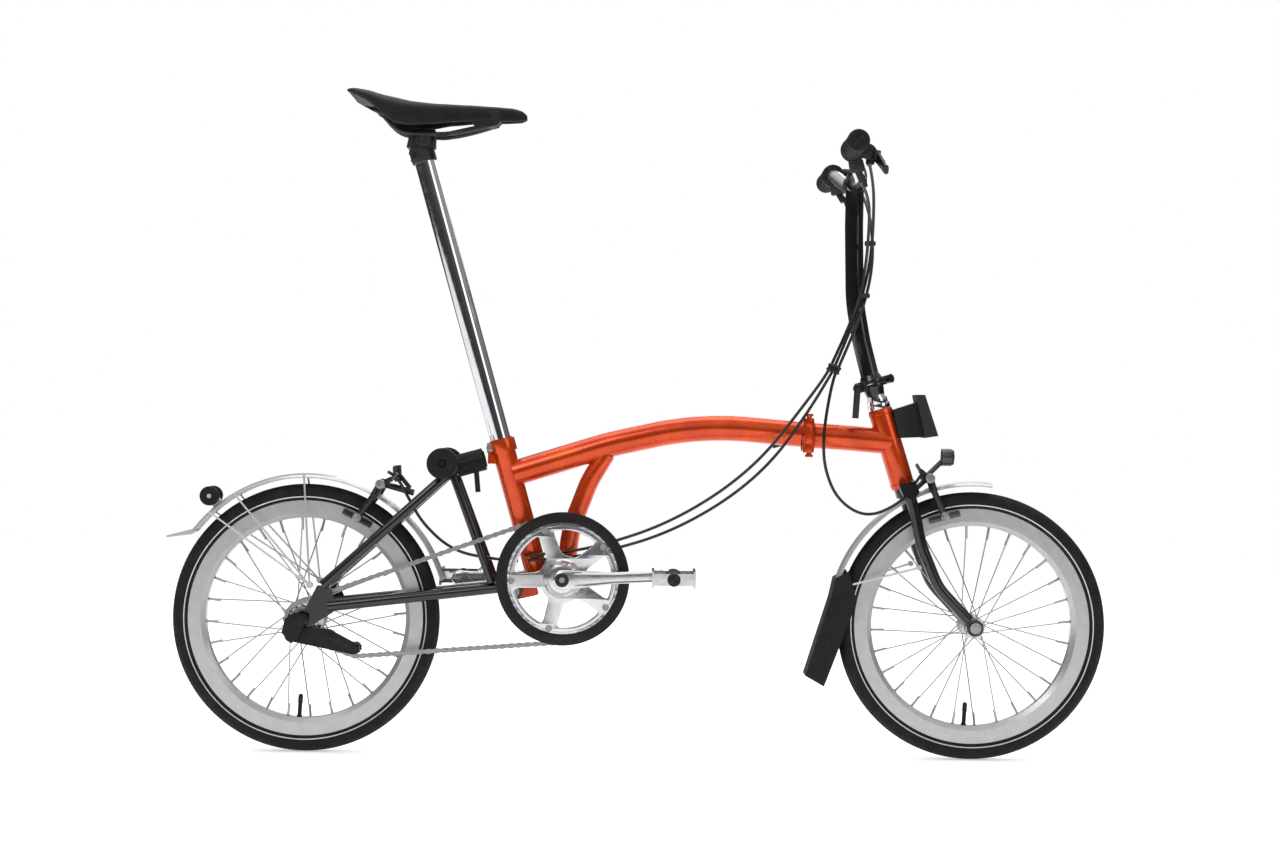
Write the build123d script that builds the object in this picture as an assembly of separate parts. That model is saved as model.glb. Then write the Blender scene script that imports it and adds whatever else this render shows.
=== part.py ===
from build123d import *
import math
import os

# Folding bicycle, millimetres, +X forward, +Z up, right-hand (drive) side at -Y.
# The origin is on the ground, midway along the length, in the plane of the wheels.

# ---- driving dimensions -------------------------------------------------
SX = 2.4                  # moves the layout so that the origin is midway along the length
WHEEL_R = 208.5           # outer radius of a 16 inch (349) tyre
TYRE_HALF_W = 17.5
RIM_OUT_R, RIM_IN_R = 184.0, 156.0
GUARD_R, GUARD_HALF_W = 223.0, 21.0
REAR_HUB = (-517.4, 208.5)
FRONT_HUB = (520.5, 208.5)
BB = (-116.3, 276.5)
PIVOT = (-192.1, 255.0)
MAIN_TUBE_R = 20.0
SEAT_TUBE_R, SEAT_POST_R = 18.0, 15.9
CRANK_LEN, CRANK_DEG = 170.0, 2.9
CHAINRING_R, GUARD_RING_R, SPROCKET_R, JOCKEY_R = 98.0, 103.0, 26.5, 14.0
CHAIN_Y = -41.0
STEER_TOP, STEER_BOT = (377.0, 536.4), (410.3, 430.4)
STEM_PIN = (389.0, 28.0, 587.0)
HINGE_X, HINGE_Y = 262.0, -33.0
SPOKES = 28
BAR_HALF = 280.0


def P(x, z, y=0.0):
    return Vector(x + SX, y, z)


def rod(p, q, r, r2=None):
    d = q - p
    pl = Plane(origin=p, z_dir=d)
    if r2 is None:
        return Solid.make_cylinder(r, d.length, pl)
    return Solid.make_cone(r, r2, d.length, pl)


def ycyl(x, z, y0, y1, r):
    return rod(P(x, z, y0), P(x, z, y1), r)


def ext(sk, y0, y1):
    pl = Plane(origin=(SX, y1, 0), x_dir=(1, 0, 0), z_dir=(0, -1, 0))
    return extrude(pl * sk, amount=y1 - y0)


def poly(pts):
    return make_face(Polyline(*pts, close=True))


def bent(pts, r, radii):
    path = FilletPolyline(*pts, radius=radii)
    w = path.wires()[0] if hasattr(path, "wires") else path
    sec = Plane(origin=w @ 0, z_dir=w % 0) * Circle(r)
    return sweep(sec, path=w)


def ring(xz, pts):
    """Closed profile of (radius, y) pairs turned about the wheel axis at xz."""
    f = Plane(origin=(0, 0, 0), x_dir=(1, 0, 0), z_dir=(0, 0, 1)) * make_face(Polyline(*pts, close=True))
    s = revolve(f, axis=Axis((0, 0, 0), (0, 1, 0)))
    return Pos(xz[0] + SX, 0, xz[1]) * s


def box(x0, x1, y0, y1, z0, z1):
    return Pos((x0 + x1) / 2 + SX, (y0 + y1) / 2, (z0 + z1) / 2) * Box(x1 - x0, y1 - y0, z1 - z0)


def polar(c, r, deg):
    return (c[0] + r * math.cos(math.radians(deg)), c[1] + r * math.sin(math.radians(deg)))


nodes = {}      # node name -> (body, shape)


def put(body, name, *shapes):
    s = shapes[0]
    for t in shapes[1:]:
        s = s + t
    nodes[name] = [body, s]


def group(body, name, *shapes):
    nodes[name] = [body, Compound(children=[Compound(s.solids()) if len(s.solids()) > 1 else s.solids()[0] for s in shapes])]


# ---- steering axis --------------------------------------------------------
_dx, _dz = STEER_TOP[0] - STEER_BOT[0], STEER_TOP[1] - STEER_BOT[1]
_L = math.hypot(_dx, _dz)
UX, UZ = _dx / _L, _dz / _L


def S(t, f=0.0, y=0.0):
    """Point t along the steering axis above the head tube's top, f forward of it, y to the left."""
    return P(STEER_TOP[0] + UX * t + UZ * f, STEER_TOP[1] + UZ * t - UX * f, y)


# ---- main frame -----------------------------------------------------------
st_dir = (Vector(-150.7 + 215.3, 0, 255.5 - 481.3)).normalized()
ST_TOP = P(-218.0, 491.0)
ST_BOT = P(-156.5, 276.0)
st_out = rod(ST_TOP, ST_BOT, SEAT_TUBE_R)
st_bore = rod(ST_TOP - st_dir * 20, ST_BOT + st_dir * 30, SEAT_POST_R + 0.3)
collar = rod(P(-217.4, 489.0), P(-212.0, 470.0), 21.5)
bb_out = ycyl(BB[0], BB[1], -34, 34, 21)
bb_bore = ycyl(BB[0], BB[1], -50, 50, 8.4)
pivot_lug = ycyl(PIVOT[0], PIVOT[1], -15, 15, 15)
post_clear = rod(ST_TOP - st_dir * 20, ST_BOT + st_dir * 400, SEAT_POST_R + 0.5)
lug_web = ext(poly([(-196, 268), (-150, 292), (-112, 296), (-108, 260), (-150, 250), (-190, 241)]), -15, 15)
seat_tube = (st_out + collar + box(-236.5, -214, -9, 9, 452, 470)) - st_bore
main_rear = bent([P(-196, 437), P(-47, 484.5), P(95, 516.5), P(HINGE_X - 10, 504)], MAIN_TUBE_R, (420, 500))
strut = bent([P(-52, 470), P(-78, 426), P(-106, 352), P(-113, 285)], 14.5, (160, 200))
put("frame", "main_tube_rear", main_rear - st_out - st_bore)
put("frame", "seat_tube", seat_tube)
strut = (strut - main_rear) - bb_out
bb_part = (bb_out + (pivot_lug + lug_web)) - bb_bore - post_clear - st_out - ycyl(PIVOT[0], PIVOT[1], -60, 60, 6.0)
put("frame", "frame_strut", strut)
put("frame", "bb_shell", bb_part - strut)
cups = [ycyl(BB[0], BB[1], 34, 37, 19) - bb_bore, ycyl(BB[0], BB[1], -37, -34, 19) - bb_bore]
group("frame", "bb_cups", *cups)
hc = (HINGE_X, 502.5)


def hx(x0, x1, r):
    return rod(P(x0, hc[1]), P(x1, hc[1]), r)


rear_plate = hx(HINGE_X - 9.4, HINGE_X - 0.3, 25)
for z0, z1 in ((476, 489), (516, 529)):
    rear_plate = rear_plate + box(HINGE_X - 8.6, HINGE_X - 0.3, HINGE_Y + 2, -18, z0, z1)
    rear_plate = rear_plate + rod(P(HINGE_X, z0, HINGE_Y), P(HINGE_X, z1, HINGE_Y), 7.5)
pin_v = rod(P(HINGE_X, 473, HINGE_Y), P(HINGE_X, 532, HINGE_Y), 4.0)
rear_plate = rear_plate - pin_v - box(HINGE_X - 0.3, HINGE_X + 12, -26, 30, 470, 535)
put("frame", "hinge_plate_rear", rear_plate - main_rear)
put("frame", "hinge_pin", pin_v + rod(P(HINGE_X, 469, HINGE_Y), P(HINGE_X, 473, HINGE_Y), 6) + rod(P(HINGE_X, 532, HINGE_Y), P(HINGE_X, 536, HINGE_Y), 6))

# clamp lever of the frame hinge, on the left side
fcl = ycyl(HINGE_X, 502.5, 26.5, 40, 8) + ext(poly([(248, 488), (276, 488), (276, 517), (248, 517)]), 27, 33)
fcl = fcl + rod(P(HINGE_X, 502.5, 38), P(HINGE_X - 52, 486, 46), 5.5)
put("frame_clamp", "frame_clamp_lever", fcl)

# quick release of the seat tube collar
sq = rod(P(-232.5, 476.5, 19.6), P(-232.5, 476.5, 31), 6) + rod(P(-232.5, 476.5, 26.5), P(-196, 484, 31), 4)
sq = sq + rod(P(-232.5, 476.5, 17), P(-232.5, 476.5, 20), 3)
sq = sq - rod(ST_TOP - st_dir * 20, ST_BOT, 22.0)
ears = box(-238, -222, 4, 10, 469, 484) + box(-238, -222, -10, -4, 469, 484)
ears = (ears - rod(P(-232.5, 476.5, -30), P(-232.5, 476.5, 30), 3.4)) - st_bore
ears = ears - st_out - collar
sqs = sorted(sq.solids(), key=lambda s: -s.volume)
put("seat_qr", "seat_clamp_lever", sqs[0])
group("frame", "seat_clamp_ears", *[s for s in ears.solids() if s.volume > 50])

# ---- seat post and saddle --------------------------------------------------
PT = P(-347.0, 937.6)
post_dir = (PT - P(-215.3, 481.3)).normalized()
POST_TOP = P(-215.3, 481.3) + (PT - P(-215.3, 481.3))
# the post runs on the seat tube's axis
ax0, axd = ST_TOP, -st_dir
axd = (ST_TOP - ST_BOT).normalized()
POST_A = ST_TOP - axd * 75
POST_B = ST_TOP + axd * 462
post = rod(POST_A, POST_B, SEAT_POST_R) - rod(POST_A, POST_B - axd * 20, SEAT_POST_R - 1.6)
put("seatpost", "seat_post", post)
TX, TZ = POST_B.X - SX, POST_B.Z
cl = rod(POST_B - axd * 14, POST_B + axd * 10, 19.5) - rod(POST_A, POST_B, SEAT_POST_R)
cl = cl + ext(poly([(TX - 24, TZ + 8), (TX + 20, TZ + 8), (TX + 20, TZ + 36), (TX - 18, TZ + 36)]), -15, 15)
cl = cl + ycyl(TX + 2, TZ + 21, -24, 24, 7)
cl = cl - rod(POST_A, POST_B, SEAT_POST_R)
rails = []
for sgn in (-1, 1):
    rails.append(bent([P(TX - 62, TZ + 58, sgn * 22), P(TX - 30, TZ + 31, sgn * 22), P(TX + 35, TZ + 27, sgn * 22),
                       P(TX + 118, TZ + 47, sgn * 16)], 3.5, (40, 60)))
cl = cl - rails[0] - rails[1]
put("seatpost", "saddle_clamp", cl)
group("seatpost", "saddle_rails", *rails)
# plain saddle solid: side profile cut with plan outline
side = poly([(-458.7, 1029.8), (-435.6, 1029.5), (-395.7, 1021.6), (-355.8, 1016.2), (-315.9, 1013.8), (-236.1, 1009.2),
             (-200.1, 1006.8), (-186, 1003), (-181, 996), (-188, 986.5), (-215, 984), (-253, 985), (-335, 993), (-395, 993),
             (-419, 1005.5), (-452, 1012)])
plan = poly([(-458.7, -66), (-440, -78), (-405, -77), (-370, -62), (-335, -40), (-300, -27), (-240, -20), (-190, -15),
             (-180.5, -6), (-180.5, 6), (-190, 15), (-240, 20), (-300, 27), (-335, 40), (-370, 62), (-405, 77), (-440, 78),
             (-458.7, 66)])
saddle = ext(side, -90, 90) & extrude(Plane(origin=(SX, 0, 960)) * plan, amount=100)
under = ext(poly([(-455, 1004), (-419, 999.5), (-395, 987), (-335, 987), (-253, 978), (-253, 996), (-335, 1002), (-395, 1004), (-440, 1014)]), -60, 60)
under = under & extrude(Plane(origin=(SX, 0, 960)) * poly([(-450, -64), (-405, -68), (-365, -52), (-330, -30), (-255, -19),
                                                          (-255, 19), (-330, 30), (-365, 52), (-405, 68), (-450, 64)]), amount=100)
saddle = saddle - under
put("seatpost", "saddle_cover", max(saddle.solids(), key=lambda s: s.volume))
tip = ext(poly([(-256, 978), (-226, 978), (-226, 986), (-256, 986)]), -19, 19)
# rails reach the saddle's nose plate and rear plate
rear_bridge = ycyl(TX - 62, TZ + 58, -30, 30, 6)
nodes["saddle_rails"][1] = Compound(children=[(r - saddle).solids()[0] for r in rails])

# ---- front frame --------------------------------------------------------------
main_front = bent([P(HINGE_X + 10, 502.5), P(330, 499), P(392, 494)], MAIN_TUBE_R, (600,))
ht_out = rod(S(0), S(-_L), 18.5)
ht_bore = rod(S(30), S(-_L - 30), 14.5)
head = ht_out - ht_bore
put("front_frame", "main_tube_front", main_front - ht_out - ht_bore)
put("front_frame", "head_tube", head)
front_plate = hx(HINGE_X + 0.3, HINGE_X + 9.8, 24)
front_plate = front_plate + box(HINGE_X + 0.3, HINGE_X + 9.0, HINGE_Y + 2, -18, 489.5, 515.5)
front_plate = front_plate + rod(P(HINGE_X, 489.5, HINGE_Y), P(HINGE_X, 515.5, HINGE_Y), 7.5)
front_plate = front_plate - rod(P(HINGE_X, 470, HINGE_Y), P(HINGE_X, 540, HINGE_Y), 4.3)
rp_mid = box(HINGE_X - 20, HINGE_X - 0.0, -45, -24.9, 489.2, 515.8)
put("front_frame", "hinge_plate_front", front_plate)
cup_t = rod(S(0), S(9), 19.5, 18) - ht_bore
cup_b = rod(S(-_L - 8), S(-_L), 18, 19.5) - ht_bore
group("front_frame", "headset_cups", cup_t, cup_b)
blk = ext(poly([(393.5, 543.8), (403.4, 500.1), (445.6, 502.2), (432.4, 556.8)]), -18, 18)
plate = ext(poly([(427.5, 567.7), (441.7, 567.8), (463.1, 504.0), (442.5, 500.7)]), -27, 27)
blkp = (blk + plate + box(388, 402, -11, 11, 506, 532)) - ht_out - main_front - cup_t - rod(S(-0.5), S(40), 20.5)
put("front_frame", "luggage_block", max(blkp.solids(), key=lambda s: s.volume))

# ---- fork, headset and steering base -----------------------------------------------
steerer = rod(S(-_L - 9), S(30), 12.7)
put("fork", "steerer", steerer)
lock = (rod(S(9.4), S(17), 17.5) + rod(S(17.6), S(26), 16.0) + rod(S(26), S(31), 13.5)) - steerer
put("fork", "headset_nuts", lock)
# base of the folding stem: a plug in the steerer with the lower hinge jaw
jaw_n = Vector(UX, 0, UZ)
base = rod(S(31), S(49.5), 14.0, 17.5)
base = base + rod(S(44), S(49.5), 22)
pin_dir = Vector(UZ, -1.0, -UX).normalized()      # across the bicycle at 45 degrees
HB = Vector(STEM_PIN[0] + SX, STEM_PIN[1], STEM_PIN[2])
HB = S(50, 20.5, 20.5)
knuck = rod(HB - pin_dir * 7, HB + pin_dir * 7, 7.0)
knuck_web = Plane(origin=S(46.5, 13, 13), x_dir=pin_dir, z_dir=jaw_n) * Box(14, 16, 5)
base = (base + knuck + knuck_web) - rod(HB - pin_dir * 30, HB + pin_dir * 30, 3.0)
put("fork", "stem_base", base)
put("fork", "stem_hinge_pin", rod(HB - pin_dir * 19, HB + pin_dir * 19, 3.0))
# stem clamp lever on the near rear side
CL = S(50, -17.5, -17.5)
cdir = Vector(-UZ, -1, UX).normalized()
scl = rod(CL + cdir * 1.0, CL + cdir * 16, 6.5) + rod(CL + cdir * 13, CL + cdir * 13 + Vector(-3, -3, -46), 5.0)
scl = scl + (Plane(origin=CL + cdir * 3, x_dir=pin_dir, z_dir=jaw_n) * Box(20, 5, 16))
scl = scl - rod(S(30), S(70), 23.2)
put("stem_clamp", "stem_clamp_lever", max(scl.solids(), key=lambda s: s.volume))
crown = ext(poly([(400, 428), (425, 435), (432, 418), (424, 404), (408, 410)]), -49, 49)
crown = crown - rod(S(-_L - 8.4), S(10), 25) - ycyl(FRONT_HUB[0], FRONT_HUB[1], -30, 30, GUARD_R + 2.6)
crown_mid = rod(S(-_L - 22), S(-_L - 8.8), 15.0)
blades = []
bl = [(413.9, 430.3, 40), (425.9, 387, 41), (434.4, 347, 42), (448.2, 303.8, 43), (468.7, 267.2, 44), (495.8, 234.1, 45), (512.0, 217.0, 46)]
for sgn in (-1, 1):
    up = bent([P(413.9, 428, 40 * sgn), P(426.5, 384, 41 * sgn), P(437.0, 334, 42.2 * sgn), P(463.0, 271, 44 * sgn), P(511.0, 220, 46 * sgn)],
              8.6, (140, 110, 90))
    drop = ycyl(FRONT_HUB[0], FRONT_HUB[1], min(43.5 * sgn, 48.5 * sgn), max(43.5 * sgn, 48.5 * sgn), 13)
    up = up + drop - ycyl(FRONT_HUB[0], FRONT_HUB[1], -60, 60, 5.0)
    blades.append(up)
fork = crown
fork = (fork - ycyl(0, 0, 0, 1, 1))
fork = fork + crown_mid - steerer - ycyl(FRONT_HUB[0], FRONT_HUB[1], -30, 30, GUARD_R + 2.6)
fork = max(fork.solids(), key=lambda s: s.volume)
fork_all = fork + blades[0] + blades[1]
put("fork", "fork", fork_all)
axle = ycyl(FRONT_HUB[0], FRONT_HUB[1], -56, 56, 4.6)
nuts = ycyl(FRONT_HUB[0], FRONT_HUB[1], -55, -48.5, 8.5) + ycyl(FRONT_HUB[0], FRONT_HUB[1], 48.5, 55, 8.5)
put("fork", "front_axle", (axle + nuts) - fork_all)


def guard(c, a0, a1, extra=()):
    prof = [(GUARD_R - 3.5, -GUARD_HALF_W), (GUARD_R, -GUARD_HALF_W + 5), (GUARD_R + 2.0, 0), (GUARD_R, GUARD_HALF_W - 5),
            (GUARD_R - 3.5, GUARD_HALF_W), (GUARD_R - 5.0, GUARD_HALF_W), (GUARD_R - 1.5, GUARD_HALF_W - 5.5), (GUARD_R + 0.4, 0),
            (GUARD_R - 1.5, -GUARD_HALF_W + 5.5), (GUARD_R - 5.0, -GUARD_HALF_W)]
    f = make_face(Polyline(*prof, close=True))
    s = revolve(f, axis=Axis((0, 0, 0), (0, 1, 0)), revolution_arc=a1 - a0)
    s = s.rotate(Axis((0, 0, 0), (0, 1, 0)), -a1)
    m = s.center()
    ang = math.degrees(math.atan2(m.Z, m.X))
    want = (a0 + a1) / 2
    s = s.rotate(Axis((0, 0, 0), (0, 1, 0)), -(want - ang))
    return Pos(c[0] + SX, 0, c[1]) * s


fg = guard(FRONT_HUB, 82.5, 170.0)
fs = []
for sgn in (-1, 1):
    fs.append(rod(P(432, 301, 55 * sgn), P(330, 271, 23 * sgn), 1.7) + rod(P(432, 301, 50 * sgn), P(432, 301, 56.5 * sgn), 4))
fstays = [s - fg for s in fs]
put("fork", "front_mudguard", fg)
group("fork", "front_guard_stays", *[max((s - fork_all).solids(), key=lambda q: q.volume) for s in fstays])
flap_o = ext(poly([(299, 250), (261.2, 129.4), (290.4, 113.1), (326, 207.8), (340, 245), (327, 292.8), (306, 281)]), -27, 27)
flap_i = ext(poly([(303.5, 250), (266, 131), (292, 100), (345, 190), (360, 245), (340, 310), (309, 290)]), -23, 23)
flap = flap_o - flap_i - fg
for s in fstays:
    flap = flap - s
put("fork", "front_flap", max(flap.solids(), key=lambda s: s.volume))


def caliper(c, ang, lean, y=0):
    """Dual pivot brake: arms either side of the tyre, pads at the rim, centre bolt at radius 240."""
    b = polar(c, 240, ang)
    t = polar(c, 256, ang + lean * 1.2)
    pd = polar(c, 177, ang - lean)
    shp = []
    for sgn in (-1, 1):
        k = polar(c, 222, ang)
        arm = rod(P(b[0], b[1], 4 * sgn), P(b[0], b[1], 27 * sgn), 6)
        arm = arm + rod(P(b[0], b[1], 27.5 * sgn), P(k[0], k[1], 31 * sgn), 6) + (Pos(*P(b[0], b[1], 27.5 * sgn)) * Sphere(6.2))
        arm = arm + rod(P(k[0], k[1], 31 * sgn), P(pd[0], pd[1], 27 * sgn), 5) + (Pos(*P(k[0], k[1], 31 * sgn)) * Sphere(6.1))
        arm = arm + rod(P(pd[0], pd[1], 19 * sgn), P(pd[0], pd[1], 31 * sgn), 5)
        q0, q1 = polar(c, 177, ang - lean - 8), polar(c, 177, ang - lean + 8)
        pad = rod(P(q0[0], q0[1], 18.5 * sgn), P(q1[0], q1[1], 18.5 * sgn), 4.6)
        arm = arm + pad
        shp.append(arm)
    body = rod(P(b[0], b[1], -5), P(b[0], b[1], 5), 8)
    up = rod(P(b[0], b[1], -22), P(t[0], t[1], -26), 4) + rod(P(t[0], t[1], -26), P(*polar(c, 268, ang + lean * 1.5), -28), 2.6)
    return shp[0] + shp[1] + body + up


fb = caliper(FRONT_HUB, 107, 2.0)
fb = fb + rod(P(*polar(FRONT_HUB, 240, 107), 0), P(430, 419, 0), 4)
put("fork", "front_brake", max((fb - fork_all - fg - steerer).solids(), key=lambda s: s.volume))
lampb = rod(P(472, 470.8), P(487, 470.8), 13.5) + rod(P(487, 470.8), P(490, 470.8), 12) + rod(P(474, 466), P(452, 444), 4)
put("fork", "front_lamp", max((lampb - fb).solids(), key=lambda s: s.volume))

# ---- stem and handlebar ---------------------------------------------------------------
stem_low = rod(S(50.6), S(56), 22) + rod(S(56), S(64), 18, 15)
k2 = rod(HB + pin_dir * 7.4, HB + pin_dir * 17, 7.0) + rod(HB - pin_dir * 17, HB - pin_dir * 7.4, 7.0)
w2 = (Plane(origin=S(54.0, 14, 14) + pin_dir * 12.2, x_dir=pin_dir, z_dir=jaw_n) * Box(9.4, 18, 5)) + (
    Plane(origin=S(54.0, 14, 14) - pin_dir * 12.2, x_dir=pin_dir, z_dir=jaw_n) * Box(9.4, 18, 5))
stem_tube = bent([S(60), P(344.3, 650), P(333.0, 712), P(330.4, 830), P(331.2, 897)], 14.2, (260, 300, 500))
stem_all = (stem_low + stem_tube + k2 + w2) - rod(HB - pin_dir * 30, HB + pin_dir * 30, 3.35)
stem_all = stem_all - rod(HB - pin_dir * 7.35, HB + pin_dir * 7.35, 7.6)
bar_pts = [P(309, 928, -BAR_HALF), P(311, 928, -165), P(329, 899, -75), P(331.5, 898, 0.5), P(329, 899, 76), P(311, 928, 165), P(309, 928, BAR_HALF)]
bar = bent([P(309, 928, -BAR_HALF), P(311, 927.5, -160), P(331, 898, -88), P(331, 898, 88), P(311, 927.5, 160), P(309, 928, BAR_HALF)], 11, (60, 50, 50, 60))
bclamp = ycyl(331, 898, -22, 22, 17)
stem_all = stem_all + bclamp
stem_all = stem_all - bar
put("stem", "stem", max(stem_all.solids(), key=lambda s: s.volume))
put("stem", "handlebar", bar)
grips = [(rod(P(309.05, 928, sgn * 178), P(309, 928, sgn * BAR_HALF + sgn * 4), 16.2) - bar) for sgn in (-1, 1)]
grip_end = []
group("stem", "grips", *grips)
mounts_ = []
for sgn in (-1, 1):
    cc = P(311, 927.0, sgn * 150)
    m = rod(P(311.3, 927.9, sgn * 166), P(311, 927.9, sgn * 174), 17)
    m = m + rod(P(320, 925, sgn * 170), P(338, 920, sgn * 168), 7) + rod(P(338, 908, sgn * 160), P(338, 932, sgn * 160), 6.5)
    m = m + rod(P(338, 918, sgn * 168), P(340, 914, sgn * 128), 5)
    mounts_.append(max((m - bar).solids(), key=lambda s: s.volume))
group("stem", "lever_mounts", *mounts_)
for nm, sgn in (("brake_lever_right", -1), ("brake_lever_left", 1)):
    lv = bent([P(350, 921, sgn * 157), P(357, 897, sgn * 188), P(352, 889, sgn * 262)], 4.8, (14,))
    lv = lv + rod(P(351.5, 914, sgn * 159), P(351.5, 927, sgn * 159), 6.0) + (Pos(*P(352, 889, sgn * 262)) * Sphere(6.2))
    lv = lv - rod(P(338, 905, sgn * 160), P(338, 935, sgn * 160), 7.0)
    lv = max(lv.solids(), key=lambda q: q.volume)
    put("lever_" + nm[12:], nm, lv)
shs = []
for sgn in (-1, 1):
    sh = rod(P(311, 927.9, sgn * 158), P(311, 927.9, sgn * 165.6), 16) + rod(P(315, 915, sgn * 161), P(318, 897, sgn * 161), 9)
    sh = sh + rod(P(318, 899, sgn * 161), P(326, 884, sgn * 152), 4)
    shs.append(max((sh - bar - mounts_[0] - mounts_[1]).solids(), key=lambda s: s.volume))
group("stem", "shifters", *shs)
CR = 2.4
cb = [bent([P(340, 914, -127), P(352, 890, -80), P(357, 840, -40), P(355, 780, -26), P(343, 720, -26), P(322, 660, -27), P(299, 606, -28)], CR, (45, 60, 90, 120, 140)),
      bent([P(340, 914, 127), P(354, 888, 84), P(362, 838, 40), P(361, 778, -2), P(350, 722, -24), P(330, 664, -34.5), P(305, 606, -35)], CR, (45, 60, 90, 110, 130)),
      bent([P(325, 885, -149), P(343, 866, -104), P(348, 824, -62), P(346, 764, -38), P(336, 712, -33.5), P(316, 656, -21), P(293, 606, -21.5)], CR, (45, 60, 90, 110, 130))]
cbs = [max((c - nodes["lever_mounts"][1] - nodes["shifters"][1] - stem_all).solids(), key=lambda s: s.volume) for c in cb]
group("stem", "cables_handlebar", *cbs)
comb = rod(P(301, 610.5, -28), P(296, 600.5, -28), 12)
comb = comb - cb[0] - cb[1] - cb[2]
put("stem", "cable_clip", max(comb.solids(), key=lambda s: s.volume))

# ---- cables fixed to the main frame and the fork ----------------------------------
cr_ = [bent([P(293, 594.5, -28), P(262, 543, -40), P(206, 462, -44), P(134, 399, -40), P(42, 347, -30), P(-52, 318, -26), P(-116, 307, -25.5), P(-172, 303, -27.5)], CR, (90, 120, 160, 160, 200, 200)),
       bent([P(287, 594.5, -21.5), P(250, 546, -46), P(192, 470, -52), P(122, 410, -48), P(36, 360, -38), P(-54, 329, -31), P(-114, 316, -28), P(-176, 311, -27)], CR, (70, 120, 160, 160, 200, 200)),
       ]
group("frame", "cables_main", *cr_)
cf = bent([P(299, 594.5, -35), P(290, 552, -40), P(283, 500, -42), P(286, 450, -38), P(308, 402, -30), P(352, 376, -28.5), P(400, 396, -30)], CR, (80, 120, 90, 70, 60))
put("fork", "cable_front_brake", max((cf - fork_all - fg).solids(), key=lambda s: s.volume))

# ---- wheels --------------------------------------------------------------------------
def wheel(tag, c, body, fl_y, fl_r, hub_r, half, ax_r):
    rim = ring(c, [(RIM_IN_R, -7), (RIM_IN_R, 7), (163, 12.5), (RIM_OUT_R, 12.5), (RIM_OUT_R, 10.8), (170, 10.8), (167, 6),
                   (167, -6), (170, -10.8), (RIM_OUT_R, -10.8), (RIM_OUT_R, -12.5), (163, -12.5)])
    o, i = [], []
    for k in range(0, 25):
        th = math.radians(-122 + k * 244 / 24)
        o.append((193 + 15.5 * math.cos(th), TYRE_HALF_W * math.sin(th)))
    for k in range(0, 19):
        th = math.radians(122 - k * 244 / 18)
        i.append((193 + 12.3 * math.cos(th), 14.2 * math.sin(th)))
    o = [(172.5, -10.4), (181.5, -10.4)] + o + [(181.5, 10.4), (172.5, 10.4), (172.5, 7.6)]
    i = i + [(172.5, -7.6)]
    tyre = ring(c, o + i) - rim
    hub = ycyl(c[0], c[1], -half, half, hub_r)
    for sgn in (-1, 1):
        hub = hub + ycyl(c[0], c[1], min(sgn * (fl_y - 1.6), sgn * (fl_y + 1.6)), max(sgn * (fl_y - 1.6), sgn * (fl_y + 1.6)), fl_r)
    hub = hub - ycyl(c[0], c[1], -70, 70, ax_r)
    sp = []
    for k in range(SPOKES):
        sgn = 1 if k % 2 else -1
        a = 360.0 * k / SPOKES + 3
        lead = 42 if (k // 2) % 2 else -42
        p = polar(c, fl_r - 4, a + lead)
        q = polar(c, RIM_IN_R + 0.6, a)
        s = rod(P(p[0], p[1], sgn * (fl_y + 2.6)), P(q[0], q[1], sgn * 1.5), 1.0)
        q2 = polar(c, RIM_IN_R - 13, a)
        n = rod(P(q[0], q[1], sgn * 1.5), P(q2[0] * 0.95 + p[0] * 0.05, q2[1] * 0.95 + p[1] * 0.05, sgn * (1.5 + fl_y * 0.1)), 1.9)
        sp.append((s + n) - rim - hub)
    rimv = polar(c, RIM_IN_R, -93.4)
    rv2 = polar(c, RIM_IN_R - 34, -93.4)
    valve = rod(P(*rimv), P(*rv2), 3.0) - rim
    put(body, "rim_" + tag, rim)
    put(body, "tyre_" + tag, tyre)
    put(body, "hub_" + tag, hub)
    group(body, "spokes_" + tag, *[max(s.solids(), key=lambda q: q.volume) for s in sp])
    put(body, "valve_" + tag, max(valve.solids(), key=lambda s: s.volume))


wheel("front", FRONT_HUB, "front_wheel", 30, 18, 12, 38, 5.0)
wheel("rear", REAR_HUB, "rear_wheel", 26, 30, 24, 33, 5.4)

# ---- rear triangle --------------------------------------------------------------------
ru = []
piv_tube = (ycyl(PIVOT[0], PIVOT[1], 15.5, 35.5, 13) + ycyl(PIVOT[0], PIVOT[1], -35.5, -15.5, 13)) - ycyl(PIVOT[0], PIVOT[1], -60, 60, 6.3)
cs = piv_tube
for sgn in (-1, 1):
    a0, a1 = (min(47.5 * sgn, 52.5 * sgn), max(47.5 * sgn, 52.5 * sgn))
    stay = rod(P(-201, 262, 26.5 * sgn), P(-478, 229.5, 48.5 * sgn), 8.5)
    dp = ext(poly([(-466, 240), (-478, 262), (-494, 262), (-512, 226), (-532, 214), (-532, 200), (-512, 194), (-470, 220)]), a0, a1)
    if sgn < 0:
        stay = rod(P(-201, 262, -26.5), P(-478, 229.5, -48.5), 8.5)
    cs = cs + stay + dp
cs = cs - ycyl(REAR_HUB[0], REAR_HUB[1], -70, 70, 5.4) - ycyl(PIVOT[0], PIVOT[1], -60, 60, 6.3)
ss = rod(P(-300, 433, -28), P(-300, 433, 28), 8)
for sgn in (-1, 1):
    ss = ss + rod(P(-300, 433, 25 * sgn), P(-486, 262, 50.0 * sgn), 7.6) + rod(P(-288, 432, 22 * sgn), P(-226.3, 268, 31.5 * sgn), 6.8)
cb_ax = ycyl(-304, 452, -46, 46, 5)
top = ext(poly([(-312, 446), (-300, 426), (-286, 426), (-284, 456), (-300, 464), (-312, 458)]), -17, 17)
ss = (ss + top + cb_ax) - cs
put("rear_frame", "chainstays", cs)
put("rear_frame", "seatstays", max(ss.solids(), key=lambda s: s.volume))
blockd = (P(-238, 460.5) - P(-290, 446.0)).normalized()
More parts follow.
